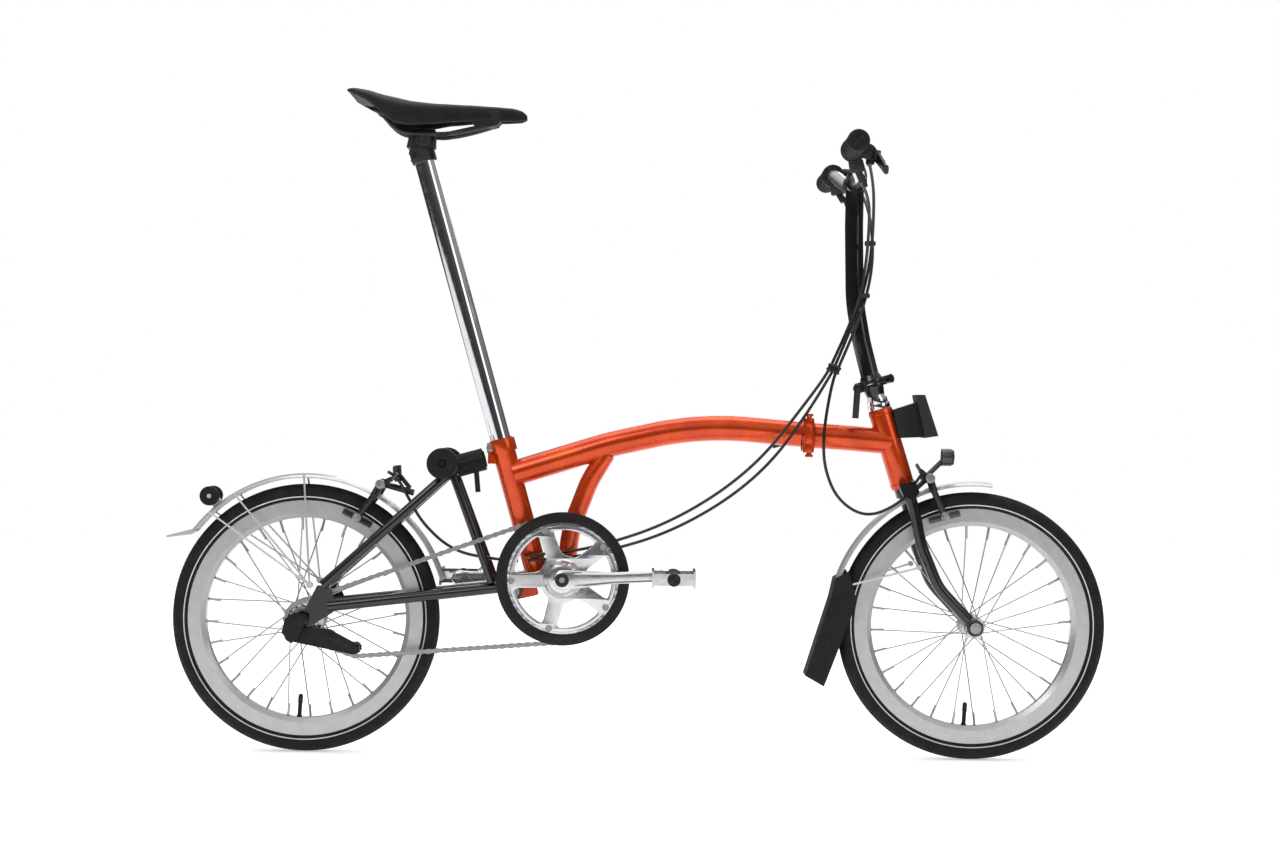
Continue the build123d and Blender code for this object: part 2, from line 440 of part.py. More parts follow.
blk_s = rod(P(-286, 447.1), P(-243, 459.1), 17.5) + rod(P(-243.2, 459.0), P(-241.0, 459.6), 13) + rod(P(-254, 450, -17), P(-254, 450, -26), 6)
blk_s = blk_s + rod(P(-254, 450, -23), P(-250, 408, -25), 4.0)
put("rear_frame", "suspension_block", max((blk_s - ss).solids(), key=lambda s: s.volume))
rax = ycyl(REAR_HUB[0], REAR_HUB[1], -68, 60, 4.9)
rax = rax + ycyl(REAR_HUB[0], REAR_HUB[1], 52.7, 59, 9) + ycyl(REAR_HUB[0], REAR_HUB[1], -60, -52.7, 9)
put("rear_frame", "rear_axle", rax - cs)
put("rear_frame", "pivot_pin", ycyl(PIVOT[0], PIVOT[1], -37, 37, 5.8) + ycyl(PIVOT[0], PIVOT[1], -38.2, -35.6, 9) + ycyl(PIVOT[0], PIVOT[1], 35.6, 41, 9))
rg = guard(REAR_HUB, 16.0, 143.0)
bridge = rod(P(-421, 392, -24), P(-421, 392, 24), 4)
rs = []
for sgn in (-1, 1):
    for qx, qz in ((-521.2, 431.5), (-629.0, 400.0), (-667.4, 371.5)):
        rs.append(rod(P(-505, 262.7, 56 * sgn), P(qx, qz, 20.5 * sgn), 1.5))
    rs.append(ycyl(-505, 262.7, min(50 * sgn, 58 * sgn), max(50 * sgn, 58 * sgn), 5))
stays = []
for sgn in (-1, 1):
    s3 = rs[0] if sgn < 0 else rs[4]
    grp = rs[0:4] if sgn < 0 else rs[4:8]
    s3 = grp[0] + grp[1] + grp[2] + grp[3]
    stays.append(max((s3 - rg - cs - ss).solids(), key=lambda s: s.volume))
put("rear_frame", "rear_mudguard", rg)
group("rear_frame", "rear_guard_stays", *stays)
brk = caliper(REAR_HUB, 61, -2.0)
bridge2 = rod(P(*polar(REAR_HUB, 240, 61), 0), P(-352, 405, 0), 5) + rod(P(-352, 405, -32), P(-352, 405, 32), 5)
brk_all = brk + bridge2
brk_all = brk_all - ss - rg - cs
put("rear_frame", "rear_brake", max(brk_all.solids(), key=lambda s: s.volume))
refl = rod(P(-372, 437, 0), P(-366, 437.5, 0), 5)
rl = ext(poly([(-381, 422), (-372, 423), (-374, 448), (-383, 447)]), -14, 14) + rod(P(-376, 434), P(-358, 412), 3.5)
put("rear_frame", "rear_reflector", max((rl - brk_all - ss).solids(), key=lambda s: s.volume))
rf = ext(poly([(-690, 341), (-694, 345), (-733.8, 334.5), (-733.8, 331.5), (-694, 337)]), -20, 20)
put("rear_frame", "rear_flap", max((rf - rg).solids(), key=lambda s: s.volume))
rbk = ext(poly([(-660, 377), (-650, 385), (-662, 400), (-674, 400), (-676, 390)]), -10, 10) - rg - ycyl(REAR_HUB[0], REAR_HUB[1], -30, 30, GUARD_R + 1.0)
rbk = rbk + ycyl(-668.5, 396.6, -14, 14, 3.4)
put("rear_frame", "guard_roller_bracket", max((rbk - rg).solids(), key=lambda s: s.volume))
gr = [ycyl(-668.5, 396.6, s0, s1, 15) - ycyl(-668.5, 396.6, -40, 40, 3.8) for s0, s1 in ((10.6, 20), (-20, -10.6))]
group("guard_roller", "guard_roller", *gr)
nodes["guard_roller_bracket"][1] = nodes["guard_roller_bracket"][1] + ycyl(-668.5, 396.6, -21, 21, 3.4)
rl_ = [ycyl(-304, 452, 36, 55, 24) - ycyl(-304, 452, 30, 60, 5.4), ycyl(-304, 452, -55, -36, 24) - ycyl(-304, 452, -60, -30, 5.4)]
nodes["seatstays"][1] = nodes["seatstays"][1] + ycyl(-304, 452, -56, 56, 5)
group("rollers", "rollers", *rl_)
crb = bent([P(-187, 302, -27), P(-232, 304, -12), P(-290, 316, -8), P(-336, 356, -8), P(-360, 398, -10)], CR, (120, 90, 70))
put("rear_frame", "cable_rear_brake", max((crb - ss - cs - brk_all - nodes["rear_reflector"][1] - rg).solids(), key=lambda s: s.volume))

# ---- chain, sprocket, tensioner ----------------------------------------------------------
J2 = (-434.0, 166.7)
J1 = (-474.0, 184.6)


def belt(dr):
    e = Sketch() + [Pos(BB[0], BB[1]) * Circle(CHAINRING_R + dr), Pos(REAR_HUB[0], REAR_HUB[1]) * Circle(SPROCKET_R + dr), Pos(J2[0], J2[1]) * Circle(JOCKEY_R + dr)]
    return make_hull(e.edges())


chain = ext(belt(4.0) - belt(-3.6), CHAIN_Y - 2.6, CHAIN_Y + 2.6)
put("rear_frame", "chain", chain)


def toothed(c, r, n, depth, y0, y1, hole):
    pts = []
    for k in range(n):
        for f, rr in ((0.0, r - depth), (0.3, r - depth), (0.42, r), (0.58, r), (0.7, r - depth)):
            pts.append(polar(c, rr, 360.0 * (k + f) / n))
    return ext(poly(pts), y0, y1) - ycyl(c[0], c[1], -90, 90, hole)


spk = toothed(REAR_HUB, SPROCKET_R - 4.0, 13, 3.0, CHAIN_Y - 1.3, CHAIN_Y + 1.3, 5.4) + (ycyl(*REAR_HUB, CHAIN_Y + 1.3, -33.4, 17) - ycyl(*REAR_HUB, -90, 90, 5.4))
put("sprocket", "sprocket", spk)
arm = ext(poly([(-538, 178), (-532, 176), (-436, 157), (-427, 160), (-427, 173), (-436, 176), (-474, 196), (-480, 196), (-524, 198), (-538, 194)]), -60, -55)
arm = arm + ycyl(J2[0], J2[1], -64, -37, 4.0) + ycyl(J1[0], J1[1], -64, -37, 4.0) + ycyl(-530.6, 186.3, -66, -54, 11)
put("tensioner", "chain_tensioner", arm)
tb = ext(poly([(-545, 190), (-530, 174), (-522, 180), (-508, 206), (-508, 218), (-526, 222), (-540, 212)]), -71, -66.4)
tb = tb + ycyl(-517.4, 208.5, -75, -66.4, 9)
tb = tb + (ycyl(-517.4, 208.5, -66.4, -60.3, 9) - ycyl(-517.4, 208.5, -70, -50, 5.0))
rax_n = nodes["rear_axle"][1]
put("rear_frame", "tensioner_body", max((tb - rax_n).solids(), key=lambda s: s.volume))
for nm, c in (("jockey_front", J2), ("jockey_rear", J1)):
    jk = toothed(c, JOCKEY_R - 4.0, 11, 1.6, CHAIN_Y - 1.8, CHAIN_Y + 1.8, 4.3)
    put(nm, nm, jk)
nodes["chain_tensioner"][1] = nodes["chain_tensioner"][1] + ycyl(J2[0], J2[1], -38.4, -37, 6) + ycyl(J1[0], J1[1], -38.4, -37, 6)

# ---- cranks and pedals ------------------------------------------------------------------------
cro = toothed(BB, CHAINRING_R - 4.0, 50, 3.0, CHAIN_Y - 1.5, CHAIN_Y + 1.5, 10)
hollow = Sketch() + (Pos(*BB) * Circle(80)) - (Pos(*BB) * Circle(30))
arms = None
for k in range(5):
    a = CRANK_DEG + 36 + 72 * k
    w = poly([polar(BB, 22, a - 30), polar(BB, 84, a - 9), polar(BB, 84, a + 9), polar(BB, 22, a + 30)])
    arms = w if arms is None else arms + w
hollow = hollow - arms
cro = cro - ext(hollow, -90, 0)
guard_ring = ext((Sketch() + Pos(*BB) * Circle(GUARD_RING_R)) - (Pos(*BB) * Circle(88)), CHAIN_Y - 6.5, CHAIN_Y - 3.2)
lugs = None
for k in range(5):
    a = CRANK_DEG + 36 + 72 * k
    q = polar(BB, 89.7, a)
    lg = ycyl(q[0], q[1], CHAIN_Y - 3.2, CHAIN_Y - 1.5, 3.6)
    lugs = lg if lugs is None else lugs + lg
put("crank", "chainring", cro + lugs)
put("crank", "chain_guard", guard_ring)
ca, sa = math.cos(math.radians(CRANK_DEG)), math.sin(math.radians(CRANK_DEG))
for nm, sgn, dirn in (("crank_arm_right", -1, 1), ("crank_arm_left", 1, -1)):
    tipx, tipz = BB[0] + dirn * CRANK_LEN * ca, BB[1] + dirn * CRANK_LEN * sa
    n0 = (-sa, ca)
    pts = [(BB[0] + n0[0] * 14, BB[1] + n0[1] * 14), (tipx + n0[0] * 9.5, tipz + n0[1] * 9.5), (tipx - n0[0] * 9.5, tipz - n0[1] * 9.5), (BB[0] - n0[0] * 14, BB[1] - n0[1] * 14)]
    y0, y1 = (-78.0, -66.0) if sgn < 0 else (62.0, 74.0)
    arm = ext(poly(pts), y0, y1) + ycyl(BB[0], BB[1], y0, y1, 15.5) + ycyl(tipx, tipz, y0, y1, 12)
    if sgn < 0:
        arm = arm + ycyl(BB[0], BB[1], -66, CHAIN_Y - 1.5, 22)
    arm = arm - ycyl(tipx, tipz, -90, 90, 7.0) - ycyl(BB[0], BB[1], -90, 90, 7.5)
    put("crank", nm, arm)
    pb = "pedal_right" if sgn < 0 else "pedal_left"
    ys = -1 if sgn < 0 else 1
    yb = y0 if sgn < 0 else y1
    sp = rod(P(tipx, tipz, yb + (6 if sgn < 0 else -6)), P(tipx, tipz, yb + ys * 92), 5.0) + rod(P(tipx, tipz, yb + ys * 1), P(tipx, tipz, yb + ys * 6), 8)
    put("crank", "spindle_" + pb[6:], sp)
    bodyp = rod(P(tipx, tipz, yb + ys * 8), P(tipx, tipz, yb + ys * 90), 12, 10)
    cage = None
    for fx in (-1, 1):
        pts = []
        m = 8
        z0 = tipz - 13
        y_s, y_e = yb + ys * 12, yb + ys * 88
        lo, hi = min(y_s, y_e), max(y_s, y_e)
        pl = box(tipx + fx * 31 - 1.6, tipx + fx * 31 + 1.6, lo, hi, tipz - 13, tipz + 13)
        for k in range(m):
            yc = lo + (k + 0.5) * (hi - lo) / m
            pl = pl - box(tipx + fx * 31 - 3, tipx + fx * 31 + 3, yc - 2.6, yc + 2.6, tipz + 9, tipz + 14) - box(
                tipx + fx * 31 - 3, tipx + fx * 31 + 3, yc - 2.6, yc + 2.6, tipz - 14, tipz - 9)
        cage = pl if cage is None else cage + pl
    for yy in (yb + ys * 14, yb + ys * 84):
        cage = cage + box(tipx - 31, tipx + 31, min(yy, yy + ys * 3), max(yy, yy + ys * 3), tipz - 9, tipz + 9)
    ped = (cage + bodyp) - rod(P(tipx, tipz, yb - ys * 10), P(tipx, tipz, yb + ys * 99), 5.4)
    put(pb, pb, max(ped.solids(), key=lambda s: s.volume))
axl = ycyl(BB[0], BB[1], -74, 70, 7.5) + ycyl(BB[0], BB[1], -79, -74, 7.5) + ycyl(BB[0], BB[1], 70, 75, 7.5)
put("crank", "bb_axle", axl)

def join(keep, *others):
    """Puts the solids of several pieces of one body into one file, as a group."""
    sol = list(nodes[keep][1].solids())
    for o in others:
        sol += list(nodes[o][1].solids())
        assert nodes[o][0] == nodes[keep][0], o
        del nodes[o]
    nodes[keep][1] = Compound(children=sol)


join("bb_shell", "frame_strut", "bb_cups")
join("seat_tube", "seat_clamp_ears")
join("hinge_plate_rear", "hinge_pin")
join("head_tube", "headset_cups")
join("main_tube_front", "hinge_plate_front")
join("steerer", "headset_nuts")
join("stem_base", "stem_hinge_pin")
join("front_mudguard", "front_guard_stays")
join("rear_mudguard", "rear_guard_stays", "guard_roller_bracket")
join("cables_handlebar", "cable_clip")
join("rim_front", "valve_front")
join("rim_rear", "valve_rear")
join("rear_axle", "pivot_pin")
join("bb_axle", "spindle_right", "spindle_left")
join("saddle_clamp", "saddle_rails")
join("shifters", "lever_mounts")
join("front_brake", "front_lamp")
join("rear_brake", "rear_reflector")

# ---- write the parts --------------------------------------------------------------------------
os.makedirs("parts", exist_ok=True)
for old in os.listdir("parts"):
    if old.endswith(".step") and old[:-5] not in nodes:
        os.remove(os.path.join("parts", old))
for name, (body, shape) in nodes.items():
    sol = [s for s in shape.solids() if s.volume > 1.0]
    out = sol[0] if len(sol) == 1 else Compound(sol)
    export_step(out, os.path.join("parts", name + ".step"))
print(len(nodes), "parts")
if __name__ == "__main__":
    low, high = [1e9] * 3, [-1e9] * 3
    for name, (body, shape) in nodes.items():
        b = shape.bounding_box()
        for i in range(3):
            low[i] = min(low[i], tuple(b.min)[i])
            high[i] = max(high[i], tuple(b.max)[i])
    print("box", [round(v, 2) for v in low], [round(v, 2) for v in high])
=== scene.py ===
import bpy, bmesh, math, random
from mathutils import Vector, Matrix


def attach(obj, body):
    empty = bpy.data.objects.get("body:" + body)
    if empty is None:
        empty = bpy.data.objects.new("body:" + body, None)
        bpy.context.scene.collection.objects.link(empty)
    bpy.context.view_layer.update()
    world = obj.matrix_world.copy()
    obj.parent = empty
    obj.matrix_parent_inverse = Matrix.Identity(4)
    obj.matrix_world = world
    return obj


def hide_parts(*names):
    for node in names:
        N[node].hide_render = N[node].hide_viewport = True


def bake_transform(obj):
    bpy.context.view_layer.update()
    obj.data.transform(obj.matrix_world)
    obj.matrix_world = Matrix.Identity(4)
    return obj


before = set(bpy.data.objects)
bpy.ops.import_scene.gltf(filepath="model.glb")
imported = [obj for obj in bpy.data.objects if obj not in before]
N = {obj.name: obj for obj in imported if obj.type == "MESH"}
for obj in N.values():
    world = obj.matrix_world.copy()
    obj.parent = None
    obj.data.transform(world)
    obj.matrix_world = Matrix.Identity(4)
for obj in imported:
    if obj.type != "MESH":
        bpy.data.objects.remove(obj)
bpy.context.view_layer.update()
random.seed(7)
SX = 2.4


def V(x, z, y=0.0):
    return Vector(((x + SX) / 1000, y / 1000, z / 1000))


REAR, FRONT, BB = (-517.4, 208.5), (520.5, 208.5), (-116.3, 276.5)
CHAIN_Y = -41.0

# ---------------------------------------------------------------- materials


def mat(name, col, rough=0.4, metal=0.0, coat=0.0, coat_rough=0.04, scale=40.0, var=0.10, rvar=0.08, bump=0.0, bscale=600.0,
        bdist=0.0004, kind="noise", sheen=0.0, spec=0.5, col2=None, detail=4.0, edge=0.0, edge_col=None, aniso=0.0):
    m = bpy.data.materials.new(name)
    m.use_nodes = True
    nt = m.node_tree
    b = nt.nodes["Principled BSDF"]
    L = nt.links.new
    tc = nt.nodes.new("ShaderNodeTexCoord")
    n1 = nt.nodes.new("ShaderNodeTexNoise")
    n1.inputs["Scale"].default_value = scale
    n1.inputs["Detail"].default_value = detail
    L(tc.outputs["Object"], n1.inputs["Vector"])
    ramp = nt.nodes.new("ShaderNodeValToRGB")
    ramp.color_ramp.elements[0].position = 0.3
    ramp.color_ramp.elements[1].position = 0.72
    c2 = col2 or tuple(min(1.0, c * (1 + var)) for c in col)
    c1 = tuple(c * (1 - var) for c in col)
    ramp.color_ramp.elements[0].color = (*c1, 1)
    ramp.color_ramp.elements[1].color = (*c2, 1)
    L(n1.outputs["Fac"], ramp.inputs["Fac"])
    out = ramp.outputs["Color"]
    if edge > 0:
        geo = nt.nodes.new("ShaderNodeNewGeometry")
        er = nt.nodes.new("ShaderNodeValToRGB")
        er.color_ramp.elements[0].position = 0.52
        er.color_ramp.elements[1].position = 0.60
        L(geo.outputs["Pointiness"], er.inputs["Fac"])
        mul = nt.nodes.new("ShaderNodeMath")
        mul.operation = "MULTIPLY"
        mul.inputs[1].default_value = edge
        L(er.outputs["Color"], mul.inputs[0])
        mx = nt.nodes.new("ShaderNodeMix")
        mx.data_type = "RGBA"
        L(mul.outputs[0], mx.inputs["Factor"])
        L(out, mx.inputs["A"])
        mx.inputs["B"].default_value = (*(edge_col or tuple(min(1, c * 3 + 0.05) for c in col)), 1)
        out = mx.outputs["Result"]
    L(out, b.inputs["Base Color"])
    n2 = nt.nodes.new("ShaderNodeTexNoise")
    n2.inputs["Scale"].default_value = scale * 3.1
    n2.inputs["Detail"].default_value = 6.0
    L(tc.outputs["Object"], n2.inputs["Vector"])
    mr = nt.nodes.new("ShaderNodeMapRange")
    mr.inputs["From Min"].default_value = 0.3
    mr.inputs["From Max"].default_value = 0.7
    mr.inputs["To Min"].default_value = max(0.02, rough - rvar)
    mr.inputs["To Max"].default_value = min(1.0, rough + rvar)
    L(n2.outputs["Fac"], mr.inputs["Value"])
    L(mr.outputs["Result"], b.inputs["Roughness"])
    b.inputs["Metallic"].default_value = metal
    b.inputs["Coat Weight"].default_value = coat
    b.inputs["Coat Roughness"].default_value = coat_rough
    b.inputs["Specular IOR Level"].default_value = spec
    if sheen:
        b.inputs["Sheen Weight"].default_value = sheen
    if bump > 0:
        if kind == "voronoi":
            n3 = nt.nodes.new("ShaderNodeTexVoronoi")
            n3.inputs["Scale"].default_value = bscale
            L(tc.outputs["Object"], n3.inputs["Vector"])
            h = n3.outputs["Distance"]
        else:
            n3 = nt.nodes.new("ShaderNodeTexNoise")
            n3.inputs["Scale"].default_value = bscale
            n3.inputs["Detail"].default_value = 3.0
            L(tc.outputs["Object"], n3.inputs["Vector"])
            h = n3.outputs["Fac"]
        bp = nt.nodes.new("ShaderNodeBump")
        bp.inputs["Strength"].default_value = bump
        bp.inputs["Distance"].default_value = bdist
        L(h, bp.inputs["Height"])
        L(bp.outputs["Normal"], b.inputs["Normal"])
    return m


ORANGE = mat("copper_orange_lacquer", (0.56, 0.042, 0.003), 0.27, 0.6, 0.45, 0.05, 26, 0.12, 0.02, bump=0.01, bscale=120, bdist=0.0001, col2=(0.70, 0.072, 0.005), spec=0.3)
BLACK = mat("black_gloss_paint", (0.006, 0.006, 0.007), 0.22, 0.0, 0.55, 0.05, 30, 0.2, 0.05, bump=0.02, bscale=300, bdist=0.0001, edge=0.15, spec=0.3)
PLASTIC = mat("black_moulded_plastic", (0.0102, 0.0102, 0.0108), 0.46, 0.0, 0.0, scale=90, var=0.25, rvar=0.08, bump=0.35, bscale=1500, bdist=0.00025, edge=0.3, spec=0.22)
RUBBER = mat("black_rubber", (0.0096, 0.0096, 0.0102), 0.62, 0.0, scale=70, var=0.3, rvar=0.1, bump=0.4, bscale=1100, bdist=0.0003, edge=0.2, spec=0.18)
TYRE = mat("tyre_rubber", (0.0120, 0.0120, 0.0126), 0.68, 0.0, scale=55, var=0.35, rvar=0.1, bump=0.35, bscale=900, bdist=0.0003, edge=0.25, spec=0.16)
STRIPE = mat("reflective_stripe", (0.60, 0.61, 0.62), 0.35, 0.3, scale=80, var=0.08, rvar=0.08, bump=0.25, bscale=2500, bdist=0.0002, kind="voronoi")
ALLOY = mat("satin_alloy", (0.52, 0.53, 0.54), 0.32, 0.85, scale=50, var=0.06, rvar=0.06, bump=0.02, bscale=500, bdist=0.0001)
RIMM = mat("machined_rim", (0.50, 0.505, 0.515), 0.34, 0.75, scale=70, var=0.06, rvar=0.05, bump=0.015, bscale=400, bdist=0.0001)
GUARDM = mat("painted_silver_guard", (0.50, 0.505, 0.515), 0.34, 0.45, 0.4, 0.08, 40, 0.05, 0.05, bump=0.02, bscale=300, bdist=0.0001)
POLISH = mat("polished_alloy", (0.60, 0.60, 0.61), 0.20, 0.92, scale=45, var=0.05, rvar=0.05, bump=0.015, bscale=300, bdist=0.0001)
CHROME = mat("chrome_plate", (0.66, 0.66, 0.68), 0.09, 1.0, scale=30, var=0.04, rvar=0.04, bump=0.01, bscale=200, bdist=0.0001)
STEEL = mat("zinc_steel", (0.36, 0.36, 0.36), 0.34, 0.9, scale=90, var=0.15, rvar=0.08, bump=0.02, bscale=500, bdist=0.0001)
CHAINM = mat("oiled_chain_steel", (0.24, 0.225, 0.20), 0.38, 1.0, scale=260, var=0.35, rvar=0.12, bump=0.15, bscale=2600, bdist=0.0001, edge=0.4, edge_col=(0.5, 0.49, 0.46))
SADDLE = mat("grained_saddle_cover", (0.0084, 0.0084, 0.0090), 0.45, 0.0, scale=60, var=0.3, rvar=0.07, bump=0.55, bscale=750, bdist=0.0004, kind="voronoi", edge=0.25, spec=0.22)
BALLOY = mat("black_anodised", (0.016, 0.016, 0.018), 0.33, 0.5, scale=80, var=0.25, rvar=0.08, bump=0.12, bscale=1300, bdist=0.00015, edge=0.45, edge_col=(0.16, 0.16, 0.17))
CABLE = mat("cable_housing", (0.0078, 0.0078, 0.0084), 0.36, 0.0, 0.3, 0.2, scale=150, var=0.25, rvar=0.08, bump=0.1, bscale=1800, bdist=0.0001, spec=0.3)
RED = mat("red_reflector", (0.62, 0.012, 0.012), 0.16, 0.0, 1.0, 0.02, scale=200, var=0.3, rvar=0.05, bump=0.9, bscale=420, bdist=0.0006, kind="voronoi")
LENS = mat("clear_reflector", (0.75, 0.77, 0.80), 0.10, 0.35, 1.0, 0.02, scale=200, var=0.2, rvar=0.04, bump=0.9, bscale=420, bdist=0.0006, kind="voronoi")

use = {
    ORANGE: "main_tube_rear seat_tube bb_shell hinge_plate_rear main_tube_front head_tube",
    BLACK: "stem_base fork stem chainstays seatstays",
    PLASTIC: "frame_clamp_lever saddle_clamp luggage_block stem_clamp_lever shifters tensioner_body chain_tensioner jockey_front jockey_rear chain_guard",
    RUBBER: "cables_main front_flap cable_front_brake grips cables_handlebar suspension_block cable_rear_brake guard_roller rollers",
    TYRE: "tyre_front tyre_rear",
    RIMM: "rim_front rim_rear",
    GUARDM: "front_mudguard rear_mudguard rear_flap",
    POLISH: "handlebar hub_front hub_rear crank_arm_right crank_arm_left chainring",
    CHROME: "seat_post steerer pedal_right pedal_left",
    STEEL: "seat_clamp_lever front_axle spokes_front spokes_rear rear_axle sprocket bb_axle",
    CHAINM: "chain",
    SADDLE: "saddle_cover",
    BALLOY: "front_brake rear_brake brake_lever_right brake_lever_left",
}
for m, names in use.items():
    for n in names.split():
        o = N[n]
        if not o.material_slots:
            o.data.materials.append(m)
        for s in o.material_slots:
            s.material = m

# rounded edges on the carried-over solids
soft_edges = {"crank_arm_right": 2.6, "crank_arm_left": 2.6, "luggage_block": 1.6, "stem_base": 0.8, "hinge_plate_rear": 0.9, "main_tube_front": 0.8,
              "frame_clamp_lever": 1.4, "stem_clamp_lever": 1.2, "chain_tensioner": 1.2, "tensioner_body": 1.4, "front_flap": 1.0,
              "saddle_clamp": 1.4, "rollers": 2.4, "guard_roller": 1.6, "hub_front": 0.5, "hub_rear": 0.6, "seat_tube": 0.8, "bb_shell": 0.7,
              "front_axle": 0.6, "rear_axle": 0.6, "rear_flap": 0.6, "head_tube": 0.7, "steerer": 0.7, "suspension_block": 1.0,
              "chainstays": 0.7, "fork": 0.8, "stem": 0.8, "chain_guard": 0.7, "seatstays": 0.7, "shifters": 0.9}
for n, w in soft_edges.items():
    o = N[n]
    wd = o.modifiers.new("weld", "WELD")
    wd.merge_threshold = 0.00001
    bv = o.modifiers.new("bevel", "BEVEL")
    bv.width = w / 1000
    bv.segments = 3
    bv.limit_method = "ANGLE"
    bv.angle_limit = math.radians(38)
    bv.use_clamp_overlap = True
    bv.harden_normals = False

# ---------------------------------------------------------------- mesh helpers


def link(name, me, m, body, *rep, smooth=True):
    o = bpy.data.objects.new(name, me)
    bpy.context.scene.collection.objects.link(o)
    if m is not None:
        me.materials.append(m)
    if smooth:
        for p in me.polygons:
            p.use_smooth = True
    if body:
        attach(o, body)
    if rep:
        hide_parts(*rep)
    return o


def mesh(name, verts, faces):
    me = bpy.data.meshes.new(name)
    me.from_pydata([tuple(v) for v in verts], [], faces)
    me.update()
    bm = bmesh.new()
    bm.from_mesh(me)
    bmesh.ops.recalc_face_normals(bm, faces=bm.faces)
    bm.to_mesh(me)
    bm.free()
    return me


def by_angle(o, deg=35):
    bpy.context.view_layer.objects.active = o
    try:
        for p in o.data.polygons:
            p.use_smooth = True
        o.data.set_sharp_from_angle(angle=math.radians(deg))
    except Exception:
        pass


class Bag:
    """Collects rings, tubes and lathes in one mesh."""

    def __init__(self):
        self.v, self.f = [], []

    def loft(self, rings, close=True, caps=True):
        base = len(self.v)
        n = len(rings[0])
        for r in rings:
            self.v += [tuple(p) for p in r]
        for i in range(len(rings) - 1):
            for j in range(n if close else n - 1):
                a, b = base + i * n + j, base + i * n + (j + 1) % n
                self.f.append((a, b, b + n, a + n))
        if caps:
            self.f.append(tuple(base + j for j in range(n))[::-1])
            self.f.append(tuple(base + (len(rings) - 1) * n + j for j in range(n)))

    def tube(self, pts, r, seg=14, caps=True):
        rs = r if isinstance(r, (list, tuple)) else [r] * len(pts)
        pts = [Vector(p) for p in pts]
        up = None
        rings = []
        for i, p in enumerate(pts):
            t = (pts[min(i + 1, len(pts) - 1)] - pts[max(i - 1, 0)]).normalized()
            if up is None:
                up = t.orthogonal().normalized()
            up = (up - t * up.dot(t)).normalized()
            side = t.cross(up)
            rings.append([p + (up * math.cos(2 * math.pi * k / seg) + side * math.sin(2 * math.pi * k / seg)) * rs[i] for k in range(seg)])
        self.loft(rings, True, caps)

    def lathe(self, p, axis, prof, seg=32):
        """prof: (along, radius) in metres, from one end to the other."""
        axis = Vector(axis).normalized()
        u = axis.orthogonal().normalized()
        w = axis.cross(u)
        p = Vector(p)
        self.loft([[p + axis * a + (u * math.cos(2 * math.pi * k / seg) + w * math.sin(2 * math.pi * k / seg)) * max(r, 1e-5) for k in range(seg)] for a, r in prof])

    def slab(self, outline, y0, y1):
        """outline: list of (x, z) in mm in the side view, between y0 and y1."""
        self.loft([[V(x, z, y0) for x, z in outline], [V(x, z, y1) for x, z in outline]])

    def make(self, name, m, body, *rep, bevel=0.0, deg=35, smooth=True):
        me = mesh(name, self.v, self.f)
        o = link(name, me, m, body, *rep, smooth=smooth)
        by_angle(o, deg)
        if bevel:
            b = o.modifiers.new("bevel", "BEVEL")
            b.width = bevel / 1000
            b.segments = 3
            b.limit_method = "ANGLE"
            b.angle_limit = math.radians(deg)
        return o


def smooth_path(pts, n=60):
    """Points on the order 3 NURBS line whose control points are pts."""
    cu = bpy.data.curves.new("tmp", "CURVE")
    cu.dimensions = "3D"
    sp = cu.splines.new("NURBS")
    sp.points.add(len(pts) - 1)
    for i, p in enumerate(pts):
        sp.points[i].co = (*p, 1)
    sp.order_u = 3
    sp.use_endpoint_u = True
    sp.resolution_u = 24
    ob = bpy.data.objects.new("tmp", cu)
    bpy.context.scene.collection.objects.link(ob)
    me = bpy.data.meshes.new_from_object(ob)
    co = [v.co.copy() for v in me.vertices]
    bpy.data.objects.remove(ob)
    bpy.data.meshes.remove(me)
    bpy.data.curves.remove(cu)
    return co


def polar(c, r, deg):
    return (c[0] + r * math.cos(math.radians(deg)), c[1] + r * math.sin(math.radians(deg)))


# ---------------------------------------------------------------- tyres


